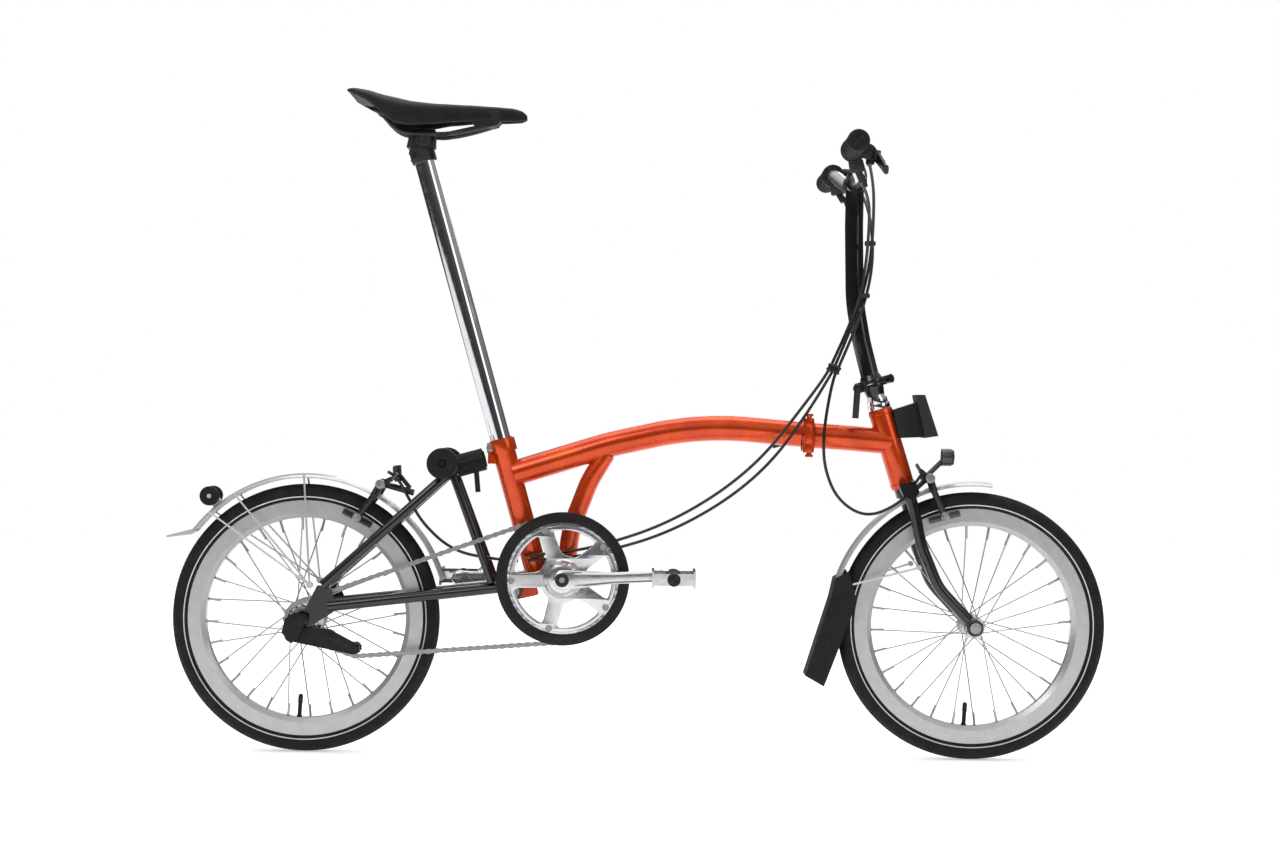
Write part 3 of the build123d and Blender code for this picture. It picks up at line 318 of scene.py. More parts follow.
def tyre(tag, c, body):
    prof = [(172.6, -7.7), (172.6, -10.3), (181.4, -10.3)]
    zone = [0, 0, 0]
    K = 40
    for k in range(K + 1):
        th = -122 + 244 * k / K
        prof.append((193 + 15.45 * math.cos(math.radians(th)), 17.45 * math.sin(math.radians(th))))
        zone.append(th)
    prof += [(181.4, 10.3), (172.6, 10.3), (172.6, 7.7)]
    zone += [0, 0, 0]
    K2 = 12
    for k in range(K2 + 1):
        th = 122 - 244 * k / K2
        prof.append((193 + 12.3 * math.cos(math.radians(th)), 14.2 * math.sin(math.radians(th))))
        zone.append(0)
    M = len(prof)
    NS = 1200
    verts, faces = [], []
    for i in range(NS):
        a = 2 * math.pi * i / NS
        for j, (r, y) in enumerate(prof):
            rr = r
            if 3 <= j <= 3 + K:
                th = zone[j]
                if abs(th) < 62:
                    s = th / 62.0
                    ph = (i / 6.0) + abs(th) / 62.0 * 3.2
                    g = 0.0
                    if abs(th) > 9 and (ph % 1.0) < 0.34:
                        g = 0.75
                    if 5.5 < abs(th) < 9.5:
                        g = 0.9
                    if abs(abs(th) - 34) < 3.2 and (int(ph) % 3 != 0):
                        g = max(g, 0.7)
                    rr = r - g * max(0.0, math.cos(math.radians(th)))
                elif 70 < abs(th) < 73.5 or 92 < abs(th) < 95:
                    rr = r - 0.35
            verts.append(V(c[0] + rr * math.cos(a), c[1] + rr * math.sin(a), y))
    for i in range(NS):
        for j in range(M):
            faces.append((i * M + j, i * M + (j + 1) % M, ((i + 1) % NS) * M + (j + 1) % M, ((i + 1) % NS) * M + j))
    me = mesh("tyre_" + tag + "_detail", verts, faces)
    me.materials.append(TYRE)
    me.materials.append(STRIPE)
    for p in me.polygons:
        j = (p.index % M)
        if 3 <= j < 3 + K:
            th = (zone[j] + zone[j + 1]) / 2
            if 101 < abs(th) < 112:
                p.material_index = 1
    o = link("tyre_" + tag + "_detail", me, None, body, "tyre_" + tag)
    return o


tyre("front", FRONT, "front_wheel")
tyre("rear", REAR, "rear_wheel")
for tag, c in (("front", FRONT), ("rear", REAR)):
    b = Bag()
    p, q = polar(c, 156.5, -93.4), polar(c, 120, -93.4)
    d = V(*q) - V(*p)
    b.lathe(V(*p), d, [(0, 4.2e-3), (0.003, 4.2e-3), (0.0032, 3.3e-3), (0.022, 3.2e-3), (0.0222, 3.8e-3), (0.034, 3.7e-3), (0.0362, 2.4e-3), (0.0366, 0)], 18)
    b.make("valve_cap_" + tag, RUBBER, tag + "_wheel")
    b = Bag()
    # eyelets where the spokes enter the rim
    for k in range(28):
        a = 360.0 * k / 28 + 3
        r0, r1 = polar(c, 156.0, a), polar(c, 154.9, a)
        b.lathe(V(*r0), V(*r1) - V(*r0), [(0, 3.3e-3), (0.0008, 3.1e-3), (0.0012, 2.2e-3)], 12)
    b.make("rim_eyelets_" + tag, STEEL, tag + "_wheel")

# ---------------------------------------------------------------- chain


def hull_path(circles):
    pts = []
    for (cx, cz), r in circles:
        for k in range(900):
            a = 2 * math.pi * k / 900
            pts.append((cx + r * math.cos(a), cz + r * math.sin(a)))
    pts = sorted(set(pts))

    def half(ps):
        h = []
        for p in ps:
            while len(h) >= 2 and (h[-1][0] - h[-2][0]) * (p[1] - h[-2][1]) - (h[-1][1] - h[-2][1]) * (p[0] - h[-2][0]) <= 0:
                h.pop()
            h.append(p)
        return h[:-1]
    return half(pts) + half(pts[::-1])


loop = hull_path([(BB, 98.0), (REAR, 26.5), ((-434.0, 166.7), 14.0)])
cum = [0.0]
for i in range(len(loop)):
    a, b = loop[i], loop[(i + 1) % len(loop)]
    cum.append(cum[-1] + math.hypot(b[0] - a[0], b[1] - a[1]))
total = cum[-1]
links = int(round(total / 12.7))
links += links % 2
step = total / links


def at(s):
    s %= total
    lo, hi = 0, len(cum) - 1
    while hi - lo > 1:
        mid = (lo + hi) // 2
        if cum[mid] <= s:
            lo = mid
        else:
            hi = mid
    a, b = loop[lo % len(loop)], loop[(lo + 1) % len(loop)]
    f = (s - cum[lo]) / max(1e-9, cum[lo + 1] - cum[lo])
    return (a[0] + (b[0] - a[0]) * f, a[1] + (b[1] - a[1]) * f)


bag = Bag()
for i in range(links):
    p, q = at(i * step), at((i + 1) * step)
    d = (q[0] - p[0], q[1] - p[1])
    ln = math.hypot(*d)
    t, nrm = (d[0] / ln, d[1] / ln), (-d[1] / ln, d[0] / ln)
    out = []
    for k in range(9):
        a = math.radians(90 + 180 * k / 8)
        out.append((p[0] + 3.9 * (t[0] * math.cos(a) + nrm[0] * math.sin(a)), p[1] + 3.9 * (t[1] * math.cos(a) + nrm[1] * math.sin(a))))
    out.append((p[0] + t[0] * ln / 2 - nrm[0] * 2.7, p[1] + t[1] * ln / 2 - nrm[1] * 2.7))
    for k in range(9):
        a = math.radians(-90 + 180 * k / 8)
        out.append((q[0] + 3.9 * (t[0] * math.cos(a) + nrm[0] * math.sin(a)), q[1] + 3.9 * (t[1] * math.cos(a) + nrm[1] * math.sin(a))))
    out.append((p[0] + t[0] * ln / 2 + nrm[0] * 2.7, p[1] + t[1] * ln / 2 + nrm[1] * 2.7))
    for sgn in (-1, 1):
        y0 = CHAIN_Y + sgn * (2.05 if i % 2 else 1.15)
        bag.slab(out, y0, y0 + sgn * 0.8)
    bag.lathe(V(p[0], p[1], CHAIN_Y - 1.1), (0, 1, 0), [(0, 3.6e-3), (0.0022, 3.6e-3)], 12)
    bag.lathe(V(p[0], p[1], CHAIN_Y - 3.1), (0, 1, 0), [(0, 1.6e-3), (0.0062, 1.6e-3)], 8)
bag.make("chain_links", CHAINM, "rear_frame", "chain", deg=30)

# ---------------------------------------------------------------- cables


def cable(name, pts, body, blendto=None, r=2.4):
    co = smooth_path(pts)
    b = Bag()
    b.tube(co, r / 1000, 14)
    me = mesh(name, b.v, b.f)
    return link(name, me, CABLE, body)


H = [[V(340, 914, -127), V(352, 890, -80), V(357, 840, -40), V(355, 780, -26), V(343, 720, -26), V(322, 660, -27), V(299, 606, -28)],
     [V(340, 914, 127), V(354, 888, 84), V(362, 838, 40), V(361, 778, -2), V(350, 722, -24), V(330, 664, -34.5), V(305, 606, -35)],
     [V(325, 885, -149), V(343, 866, -104), V(348, 824, -62), V(346, 764, -38), V(336, 712, -33.5), V(316, 656, -21), V(293, 606, -21.5)]]
b = Bag()
for h in H:
    b.tube(smooth_path(h), 0.0024, 14)
me = mesh("cable_runs_stem", b.v, b.f)
link("cable_runs_stem", me, CABLE, "stem", "cables_handlebar")
b = Bag()
d = (V(296, 598.5, -28) - V(302, 612.5, -28)).normalized()
b.lathe(V(302, 612.5, -28), d, [(0, 0), (0.0004, 0.0085), (0.0015, 0.0105), (0.0045, 0.0112), (0.005, 0.0098), (0.009, 0.0098), (0.0095, 0.0112), (0.0125, 0.0105), (0.0135, 0.0085), (0.0139, 0)], 28)
for q in (V(345, 720, -29), V(352, 800, -40)):
    b.lathe(q + Vector((0, 0, 0.004)), (0, 0, -1), [(0, 0), (0.0003, 0.0075), (0.0012, 0.0086), (0.0068, 0.0086), (0.0077, 0.0075), (0.008, 0)], 20)
b.make("cable_clips", PLASTIC, "stem")
MAINC = [[V(299.5, 606, -28), V(293, 594.5, -28), V(262, 543, -40), V(206, 462, -44), V(134, 399, -40), V(42, 347, -30), V(-52, 318, -26), V(-116, 307, -25.5), V(-172, 303, -27.5)],
         [V(292.5, 606, -21.5), V(287, 594.5, -21.5), V(250, 546, -46), V(192, 470, -52), V(122, 410, -48), V(36, 360, -38), V(-54, 329, -31), V(-114, 316, -28), V(-176, 311, -27)]]
b = Bag()
for h in MAINC:
    b.tube(smooth_path(h), 0.0024, 14)
me = mesh("cable_runs_frame", b.v, b.f)
o = link("cable_runs_frame", me, CABLE, None)
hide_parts("cables_main")
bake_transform(o)
FB = [V(304, 606, -35), V(299, 594.5, -35), V(290, 552, -40), V(283, 500, -42), V(286, 450, -38), V(308, 402, -30), V(352, 376, -28.5), V(400, 396, -30), V(425, 425, -28), V(440, 448, -24)]
b = Bag()
b.tube(smooth_path(FB), 0.0024, 14)
me = mesh("cable_run_front_brake", b.v, b.f)
link("cable_run_front_brake", me, CABLE, "fork", "cable_front_brake")
RB = [V(-187, 302, -27), V(-232, 304, -12), V(-290, 316, -8), V(-336, 356, -8), V(-360, 398, -10), V(-376, 430, -20), V(-390, 438, -26)]
b = Bag()
b.tube(smooth_path(RB), 0.0024, 14)
GC = [V(-190, 296, -27), V(-236, 290, -24), V(-300, 283, -30), V(-380, 268, -40), V(-450, 250, -50), V(-486, 240, -57), V(-507, 222, -62)]
me = mesh("cable_run_rear_brake", b.v, b.f)
link("cable_run_rear_brake", me, CABLE, "rear_frame", "cable_rear_brake")

# ---------------------------------------------------------------- saddle
def lerp(tab, x):
    for (x0, y0), (x1, y1) in zip(tab, tab[1:]):
        if x0 <= x <= x1:
            f = (x - x0) / (x1 - x0)
            f = f * f * (3 - 2 * f) * 0.5 + f * 0.5
            return y0 + (y1 - y0) * f
    return tab[0][1] if x < tab[0][0] else tab[-1][1]


TOPZ = [(-458, 1028.5), (-446, 1029.4), (-430, 1027.6), (-396, 1021), (-356, 1015.6), (-316, 1013), (-276, 1010.8), (-236, 1008.6), (-205, 1006.6), (-190, 1003.0), (-181, 995.5)]
BOTZ = [(-458, 1018), (-446, 1010), (-430, 1004), (-410, 995), (-396, 983), (-380, 974), (-362, 973), (-335, 976), (-300, 981), (-253, 984.5), (-215, 984.5), (-190, 985.5), (-181, 989)]
WID = [(-458, 56), (-450, 70), (-440, 76.5), (-420, 77.5), (-400, 73), (-375, 59), (-350, 44), (-325, 33), (-300, 27), (-260, 21.5), (-220, 17.5), (-195, 14.5), (-186, 11), (-181, 6)]
NX, NY = 70, 36
verts, faces = [], []
for i in range(NX + 1):
    f = i / NX
    x = -458 + 277 * f
    zt, zb, w = lerp(TOPZ, x), lerp(BOTZ, x), lerp(WID, x)
    sag = 2.2 * math.exp(-((x + 345) / 60) ** 2)
    for j in range(NY + 1):
        v = -1 + 2 * j / NY
        a = v * math.radians(97)
        yy = w * math.copysign(abs(math.sin(a)) ** 0.86, v)
        drop = (zt - zb) * (1 - max(0.0, math.cos(a)) ** 0.55) if abs(a) < math.pi / 2 else (zt - zb)
        drop = (zt - zb) * (abs(v) ** 3.4)
        if x < -405:
            drop *= 0.55 + 0.45 * (x + 458) / 53
        z = zt - drop - sag * (1 - v * v)
        if abs(v) > 0.93:
            yy *= 0.97
        verts.append(V(x, z, yy))
for i in range(NX):
    for j in range(NY):
        a = i * (NY + 1) + j
        faces.append((a, a + 1, a + NY + 2, a + NY + 1))
me = mesh("saddle_shell", verts, faces)
sd = link("saddle_shell", me, SADDLE, "seatpost", "saddle_cover")
so = sd.modifiers.new("solid", "SOLIDIFY")
so.thickness = 0.0046
so.offset = -1
ss_ = sd.modifiers.new("sub", "SUBSURF")
ss_.levels = ss_.render_levels = 1
sb = Bag()
# under pan, rear badge plate and nose piece that hold the rails
sb.loft([[V(x, lerp(TOPZ, x) - 8 - 2 * abs(v), lerp(WID, x) * 0.84 * v) for v in (-1, -0.5, 0, 0.5, 1)] + [V(x, lerp(TOPZ, x) - 12, lerp(WID, x) * 0.80 * v) for v in (1, 0.5, 0, -0.5, -1)] for x in range(-448, -190, 12)])
sb.slab([(-268, 1001), (-224, 1000), (-222, 985), (-232, 977), (-262, 977), (-270, 986)], -19, 19)
sb.slab([(-419, 1012), (-397, 1010), (-395, 996), (-405, 990), (-418, 998)], -34, 34)
sb.make("saddle_pan", PLASTIC, "seatpost", bevel=1.6)
sv = Bag()
for y in (-30, -15, 0, 15, 30):
    sv.lathe(V(-449.5, 1025.4 - abs(y) * 0.02, y), (-0.55, 0, 0.83), [(0, 4.2e-3), (0.0010, 4.0e-3), (0.0020, 2.4e-3), (0.0023, 0)], 18)
sv.make("saddle_studs", BALLOY, "seatpost")
rl = Bag()
PX, PZ = -218.0 - 61.5 * 462 / 223.62, 491.0 + 215 * 462 / 223.62
for sg in (-1, 1):
    rl.tube(smooth_path([V(PX - 56, PZ + 52, 24 * sg), V(PX - 44, PZ + 38, 22 * sg), V(PX - 26, PZ + 29.5, 22 * sg), V(PX + 4, PZ + 28, 22 * sg), V(PX + 35, PZ + 27.5, 22 * sg),
                         V(PX + 70, PZ + 33, 20 * sg), V(PX + 104, PZ + 43, 15 * sg)]), 0.0036, 14)
rl.make("saddle_rail_wires", BALLOY, "seatpost")
sc = Bag()
for sg in (-1, 1):
    sc.lathe(V(PX + 2, PZ + 21, 15 * sg), (0, sg, 0), [(0, 0.0125), (0.002, 0.0135), (0.0035, 0.0135), (0.0045, 0.0122), (0.0085, 0.012), (0.0095, 0.0105), (0.0098, 0.0062), (0.0072, 0.0055), (0.0072, 0)], 32)
sc.lathe(V(-347.0, 937.6) - Vector((-0.275, 0, 0.9614)) * 0.012, (-0.275, 0, 0.9614), [(0, 0.0170), (0.0005, 0.0196), (0.004, 0.0199), (0.0045, 0.0190), (0.012, 0.0190), (0.0125, 0.0199), (0.016, 0.0196), (0.0165, 0.0170)], 40)
sc.make("saddle_clamp_ears", PLASTIC, "seatpost")

# ---------------------------------------------------------------- grips
gb = Bag()
for sg in (-1, 1):
    prof = [(0, 0.0112), (0.0006, 0.0150), (0.002, 0.0162), (0.006, 0.0162), (0.0068, 0.0150)]
    a = 0.0085
    while a < 0.093:
        prof += [(a, 0.0150), (a + 0.0005, 0.0158), (a + 0.0022, 0.0158), (a + 0.0027, 0.0150)]
        a += 0.0038
    prof += [(0.0955, 0.0150), (0.0963, 0.0162), (0.1025, 0.0164), (0.1045, 0.0155), (0.1056, 0.0125), (0.1059, 0.006), (0.1059, 0.0)]
    prof = [(p, r) for p, r in prof]
    gb.lathe(V(309, 928, 178 * sg), (0, sg, 0), prof, 40)
gb.make("grip_sleeves", RUBBER, "stem", "grips", deg=50)

# lever clamps, shifter pods and adjusters
lb = Bag()
for sg in (-1, 1):
    lb.lathe(V(311.2, 927.9, 165.5 * sg), (0, sg, 0), [(0, 0.0112), (0.0004, 0.0176), (0.0015, 0.0184), (0.0065, 0.0184), (0.0076, 0.0176), (0.008, 0.0112)], 36)
    lb.tube(smooth_path([V(318, 930, 169 * sg), V(330, 932, 168 * sg), V(340, 930, 162 * sg), V(345, 922, 150 * sg), V(342, 916, 134 * sg)]), [0.0088 - 0.004 * k / 120 for k in range(200)][:len(smooth_path([V(318, 930, 169 * sg), V(330, 932, 168 * sg), V(340, 930, 162 * sg), V(345, 922, 150 * sg), V(342, 916, 134 * sg)]))], 18)
    lb.lathe(V(341, 915, 134 * sg), (-0.05, -sg, -0.15), [(0, 0.0048), (0.001, 0.0056), (0.005, 0.0056), (0.006, 0.0044), (0.014, 0.0040), (0.015, 0.003)], 20)
    lb.lathe(V(318, 902, 161 * sg), (0.15, 0, -1), [(-0.012, 0.0095), (-0.010, 0.0112), (0.004, 0.0112), (0.006, 0.0098), (0.0066, 0.006), (0.0066, 0)], 28)
    lb.tube(smooth_path([V(319, 899, 160 * sg), V(326, 893, 156 * sg), V(331, 884, 151 * sg), V(333, 876, 148 * sg)]), 0.0034, 12)
lb.make("lever_clamps_and_pods", PLASTIC, "stem")
for sg, bd in ((-1, "lever_right"), (1, "lever_left")):
    b = Bag()
    pts = smooth_path([V(347, 921, 158 * sg), V(354, 910, 168 * sg), V(358, 897, 190 * sg), V(355, 892, 225 * sg), V(351, 889, 262 * sg)])
    n = len(pts)
    base = len(b.v)
    rings = []
    for i, p in enumerate(pts):
        t = (pts[min(i + 1, n - 1)] - pts[max(i - 1, 0)]).normalized()
        upv = Vector((0, 0, 1))
        upv = (upv - t * upv.dot(t)).normalized()
        side = t.cross(upv)
        f = i / (n - 1)
        h = 0.0078 - 0.0022 * f + 0.0015 * math.exp(-((f - 0.95) / 0.06) ** 2)
        th = 0.0036
        rings.append([p + upv * h * math.copysign(abs(math.sin(q)) ** 0.7, math.sin(q)) + side * th * math.copysign(abs(math.cos(q)) ** 0.7, math.cos(q)) for q in [2 * math.pi * k / 20 for k in range(20)]])
    b.loft(rings)
    b.lathe(V(348, 929.5, 158 * sg), (0, 0, -1), [(0, 0), (0.0003, 0.005), (0.001, 0.0062), (0.0148, 0.0062), (0.0155, 0.005), (0.0158, 0)], 24)
    b.make("lever_blade_" + ("right" if sg < 0 else "left"), BALLOY, bd, "brake_lever_" + ("right" if sg < 0 else "left"))

# ---------------------------------------------------------------- chainring, guard, crank
CA = math.radians(2.9)


def filled(name, outer, holes, y0, y1, bev, m, body, *rep):
    cu = bpy.data.curves.new(name, "CURVE")
    cu.dimensions = "2D"
    cu.fill_mode = "BOTH"
    for pts in [outer] + holes:
        sp = cu.splines.new("POLY")
        sp.points.add(len(pts) - 1)
        for i, (x, z) in enumerate(pts):
            sp.points[i].co = ((x + SX) / 1000, z / 1000, 0, 1)
        sp.use_cyclic_u = True
    half = (y1 - y0) / 2000
    cu.extrude = max(1e-5, half - bev / 1000)
    cu.bevel_depth = bev / 1000
    cu.bevel_resolution = 3
    cu.offset = -bev / 1000
    ob = bpy.data.objects.new(name, cu)
    bpy.context.scene.collection.objects.link(ob)
    dg = bpy.context.evaluated_depsgraph_get()
    me = bpy.data.meshes.new_from_object(ob.evaluated_get(dg))
    bpy.data.objects.remove(ob)
    R = Matrix(((1, 0, 0, 0), (0, 0, -1, (y0 + y1) / 2000), (0, 1, 0, 0), (0, 0, 0, 1)))
    me.transform(R)
    me.name = name
    me.materials.clear()
    bm = bmesh.new()
    bm.from_mesh(me)
    bmesh.ops.remove_doubles(bm, verts=bm.verts, dist=1e-6)
    bmesh.ops.recalc_face_normals(bm, faces=bm.faces)
    bm.to_mesh(me)
    bm.free()
    o = link(name, me, m, body, *rep)
    by_angle(o, 30)
    return o


def circ(c, r, n=120, ph=0.0):
    return [(c[0] + r * math.cos(2 * math.pi * k / n + ph), c[1] + r * math.sin(2 * math.pi * k / n + ph)) for k in range(n)]


def petal(mid, r0, r1, half0, half1, n=14):
    """Rounded hole between two arms: mid angle, inner and outer radius, half widths as angles there."""
    raw = []
    for k in range(9):
        a = mid - half1 + 2 * half1 * k / 8
        raw.append((r1, a))
    raw += [(r0 + 0.45 * (r1 - r0), mid + half1 * 0.86), (r0, mid + half0), (r0 - 1.5, mid), (r0, mid - half0), (r0 + 0.45 * (r1 - r0), mid - half1 * 0.86)]
    pts = [Vector((BB[0] + r * math.cos(math.radians(a)), BB[1] + r * math.sin(math.radians(a)))) for r, a in raw]
    for _ in range(3):
        q = []
        for i in range(len(pts)):
            a, b = pts[i], pts[(i + 1) % len(pts)]
            q += [a * 0.75 + b * 0.25, a * 0.25 + b * 0.75]
        pts = q
    return [(p.x, p.y) for p in pts]


deg0 = 2.9
holes = [petal(deg0 + 72 * k, 36, 79, 19, 29) for k in range(5)]
outer = []
for k in range(50):
    for f, r in ((0.0, 90.8), (0.28, 91.0), (0.42, 93.6), (0.5, 94.0), (0.58, 93.6), (0.72, 91.0)):
        outer.append(polar(BB, r, 360 * (k + f) / 50))
filled("chainring_star", outer, holes, CHAIN_Y - 1.6, CHAIN_Y + 1.4, 0.5, POLISH, "crank", "chainring")
filled("spider_face", circ(BB, 82.5), [petal(deg0 + 72 * k, 38, 75.5, 17.5, 27.5) for k in range(5)], CHAIN_Y - 5.2, CHAIN_Y - 1.4, 1.2, POLISH, "crank")
filled("guard_ring", circ(BB, 103.0, 160), [circ(BB, 86.5, 160)], CHAIN_Y - 6.8, CHAIN_Y - 3.2, 1.1, PLASTIC, "crank", "chain_guard")
cbz = Bag()
for k in range(5):
    q = polar(BB, 79.5, deg0 + 36 + 72 * k)
    cbz.lathe(V(q[0], q[1], CHAIN_Y - 5.0), (0, -1, 0), [(0, 0.0052), (0.0012, 0.0052), (0.002, 0.0044), (0.002, 0.0024), (0.0009, 0.0022), (0.0009, 0)], 24)
cbz.make("chainring_bolts", STEEL, "crank")
for nm, y0, y1, d, body in (("right", -78.0, -66.0, 1, "crank"), ("left", 62.0, 74.0, -1, "crank")):
    b = Bag()
    ca, sa = math.cos(CA) * d, math.sin(CA) * d
    rings = []
    for k in range(41):
        f = k / 40
        L_ = -15.0 + 197.0 * f
        if f < 0.09:
            hw = 15.5 * math.sqrt(max(0.0, 1 - ((0.09 - f) / 0.09) ** 2)) + 0.2
        elif f > 0.93:
            hw = 11.8 * math.sqrt(max(0.0, 1 - ((f - 0.93) / 0.07) ** 2)) + 0.2
        else:
            g = (f - 0.09) / 0.84
            hw = 15.5 + (9.2 - 15.5) * min(1, g * 2.2) + 2.6 * max(0, (g - 0.82) / 0.18)
        ht = (y1 - y0) / 2 - (1.2 if 0.14 < f < 0.88 else 0)
        yc = (y0 + y1) / 2
        ring_ = []
        for q in range(24):
            t = 2 * math.pi * q / 24
            cx, sy = math.cos(t), math.sin(t)
            ex = 0.55
            oz = hw * math.copysign(abs(cx) ** ex, cx)
            oy = ht * math.copysign(abs(sy) ** ex, sy)
            if 0.16 < f < 0.84 and abs(cx) < 0.55 and (sy < 0) == (nm == "right"):
                oy *= 0.80
            ring_.append(V(BB[0] + ca * L_ - sa * d * oz * d, BB[1] + sa * L_ + ca * d * oz * d, yc + oy))
        rings.append(ring_)
    b.loft(rings)
    o = b.make("crank_" + nm + "_forged", POLISH, body, "crank_arm_" + nm, deg=40)
hb = Bag()
hb.lathe(V(BB[0], BB[1], -66.5), (0, 1, 0), [(0, 0.016), (0.001, 0.0205), (0.012, 0.0225), (0.020, 0.030), (0.0235, 0.034), (0.0238, 0.010)], 60)
hb.make("spider_hub", POLISH, "crank", deg=50)
cc_ = Bag()
for y, sg in ((-78.6, -1), (74.6, 1)):
    cc_.lathe(V(BB[0], BB[1], y - sg * 2.2), (0, sg, 0), [(0, 0.0108), (0.0022, 0.0108), (0.0034, 0.0100), (0.0036, 0.0046), (0.0018, 0.0040), (0.0018, 0)], 36)
cc_.make("crank_dust_caps", PLASTIC, "crank", deg=40)
# pedal ends
pe = {"right": (BB[0] + 170 * math.cos(CA), BB[1] + 170 * math.sin(CA), -78.0, -1), "left": (BB[0] - 170 * math.cos(CA), BB[1] - 170 * math.sin(CA), 74.0, 1)}
for nm, (px, pz, py, sg) in pe.items():
    b = Bag()
    b.lathe(V(px, pz, py + sg * 88.5), (0, sg, 0), [(0, 0.0095), (0.0012, 0.0100), (0.003, 0.0098), (0.0042, 0.0085), (0.0046, 0.005), (0.0046, 0)], 28)
    b.make("pedal_cap_" + nm, PLASTIC, "pedal_" + nm)

# ---------------------------------------------------------------- brakes, lamp lens, small hardware
lz = Bag()
lz.lathe(V(489.7, 470.8, 0), (1, 0, 0), [(0, 0.0112), (0.0006, 0.0114), (0.0014, 0.0104), (0.0020, 0.0070), (0.0022, 0)], 40)
lz.make("front_lens", LENS, "fork")
for hub, ang, lean, bd, nm in (((520.5, 208.5), 107, 2.0, "fork", "front"), ((-517.4, 208.5), 61, -2.0, "rear_frame", "rear")):
    bb_ = Bag()
    q = polar(hub, 240, ang)
    tdir = Vector((math.cos(math.radians(ang + 90)), 0, math.sin(math.radians(ang + 90))))
    for sg in (-1, 1):
        pd_ = polar(hub, 177, ang - lean)
        pc = V(pd_[0], pd_[1], 31 * sg)
        bb_.lathe(pc, (0, sg, 0), [(0, 0.0050), (0.0004, 0.0066), (0.0016, 0.0068), (0.0022, 0.0060), (0.0022, 0.0042), (0.0060, 0.0040), (0.0066, 0.0032), (0.0066, 0)], 24)
        bb_.lathe(V(q[0], q[1], 27.0 * sg), (0, sg, 0), [(0, 0.0062), (0.0005, 0.0076), (0.0075, 0.0076), (0.0086, 0.0066), (0.0088, 0.0030), (0.0070, 0.0028), (0.0070, 0)], 28)
    bb_.make(nm + "_brake_bolts", STEEL, bd)
rz = Bag()
rz.slab([(-381.3, 424.0), (-382.9, 445.8), (-384.6, 445.0), (-383.1, 424.6)], -12.6, 12.6)
rz.make("rear_reflector_lens", RED, "rear_frame", bevel=0.7)
# collar bolt behind the seat tube
cbt = Bag()
cbt.lathe(V(-232.5, 476.5, 10), (0, 1, 0), [(0, 0.0030), (0.0085, 0.0030), (0.0090, 0.0022), (0.0090, 0)], 20)
cbt.lathe(V(-232.5, 476.5, -10), (0, -1, 0), [(0, 0.0030), (0.0002, 0.0062), (0.0038, 0.0064), (0.0048, 0.0056), (0.0050, 0.0026), (0.0032, 0.0024), (0.0032, 0)], 24)
cbt.make("collar_bolt", STEEL, "frame")

# ---------------------------------------------------------------- camera, light, stage
cam = bpy.data.cameras.new("cam")
co = bpy.data.objects.new("cam", cam)
bpy.context.scene.collection.objects.link(co)
cam.sensor_width = 36.0
cam.lens = 36.0 * 3450 / 2000.64
cam.clip_end = 60
roll = math.radians(0.73)
right = Vector((math.cos(roll), 0, math.sin(roll)))
up = Vector((-math.sin(roll), 0, math.cos(roll)))
back = Vector((0, -1, 0))
mw = Matrix((right, up, back)).transposed().to_4x4()
mw.translation = Vector((SX / 1000, -3.45, 0.5122))
co.matrix_world = mw
bpy.context.scene.camera = co


def area(name, loc, to, size, power, sy=None, col=(1, 1, 1)):
    l = bpy.data.lights.new(name, "AREA")
    l.energy = power
    l.color = col
    l.shape = "RECTANGLE"
    l.size = size
    l.size_y = sy or size
    o = bpy.data.objects.new(name, l)
    o.location = loc
    o.rotation_euler = (Vector(to) - Vector(loc)).to_track_quat("-Z", "Y").to_euler()
    bpy.context.scene.collection.objects.link(o)


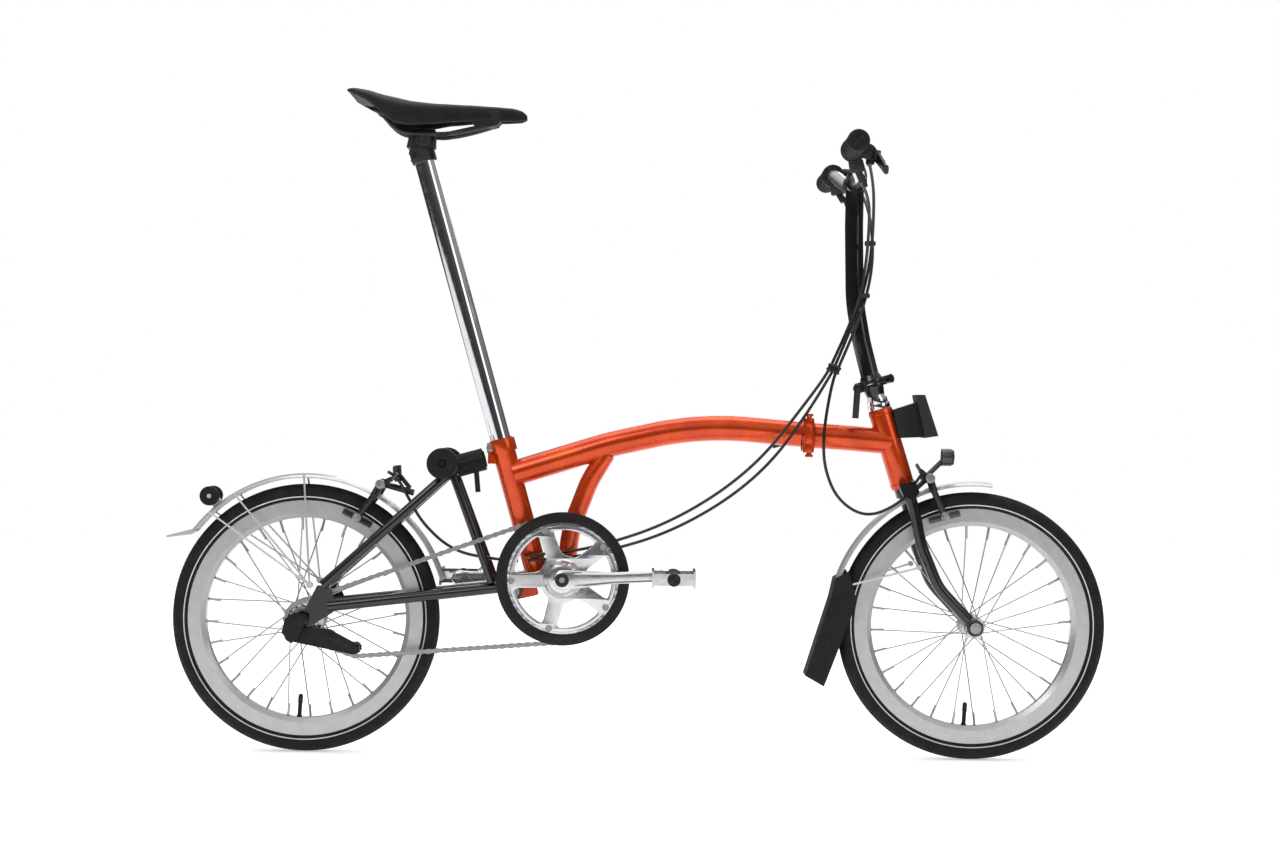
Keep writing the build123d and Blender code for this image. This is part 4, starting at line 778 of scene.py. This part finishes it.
area("key", (-1.6, -2.6, 3.0), (0, 0, 0.4), 2.2, 34, 1.2)
area("fill", (2.6, -2.4, 1.8), (0.1, 0, 0.4), 1.4, 14, 1.6)
area("top", (0, 0.5, 3.4), (0, 0, 0.3), 3.2, 42, 2.0)
area("back", (0.5, 3.2, 2.2), (0, 0, 0.4), 2.6, 26, 1.2)
w = bpy.data.worlds.new("studio")
bpy.context.scene.world = w
w.use_nodes = True
nt = w.node_tree
bg = nt.nodes["Background"]
bg.inputs["Strength"].default_value = 1.0
tc = nt.nodes.new("ShaderNodeTexCoord")
sep = nt.nodes.new("ShaderNodeSeparateXYZ")
nt.links.new(tc.outputs["Generated"], sep.inputs[0])
rp = nt.nodes.new("ShaderNodeValToRGB")
rp.color_ramp.elements[0].position = 0.0
rp.color_ramp.elements[0].color = (0.05, 0.05, 0.052, 1)
rp.color_ramp.elements[1].position = 0.75
rp.color_ramp.elements[1].color = (0.75, 0.75, 0.76, 1)
e = rp.color_ramp.elements.new(0.22)
e.color = (0.09, 0.09, 0.093, 1)
e = rp.color_ramp.elements.new(0.36)
e.color = (0.36, 0.36, 0.37, 1)
nt.links.new(sep.outputs["Z"], rp.inputs["Fac"])
lp = nt.nodes.new("ShaderNodeLightPath")
mx = nt.nodes.new("ShaderNodeMix")
mx.data_type = "RGBA"
nt.links.new(lp.outputs["Is Camera Ray"], mx.inputs["Factor"])
nt.links.new(rp.outputs["Color"], mx.inputs["A"])
mx.inputs["B"].default_value = (1, 1, 1, 1)
nt.links.new(mx.outputs["Result"], bg.inputs["Color"])
bm = bmesh.new()
bmesh.ops.create_circle(bm, cap_ends=True, segments=96, radius=5.0)
me = bpy.data.meshes.new("floor")
bm.to_mesh(me)
bm.free()
fl = bpy.data.objects.new("floor", me)
bpy.context.scene.collection.objects.link(fl)
fl.location = (0, 0, -0.0005)
FM = mat("floor_paper", (0.93, 0.93, 0.93), 0.9, 0.0, scale=3, var=0.01, rvar=0.02, spec=0.1)
fb_ = FM.node_tree.nodes["Principled BSDF"]
fb_.inputs["Emission Color"].default_value = (1, 1, 1, 1)
fb_.inputs["Emission Strength"].default_value = 0.45
me.materials.append(FM)
bpy.context.scene.view_settings.view_transform = "Standard"
bpy.context.scene.view_settings.look = "None"
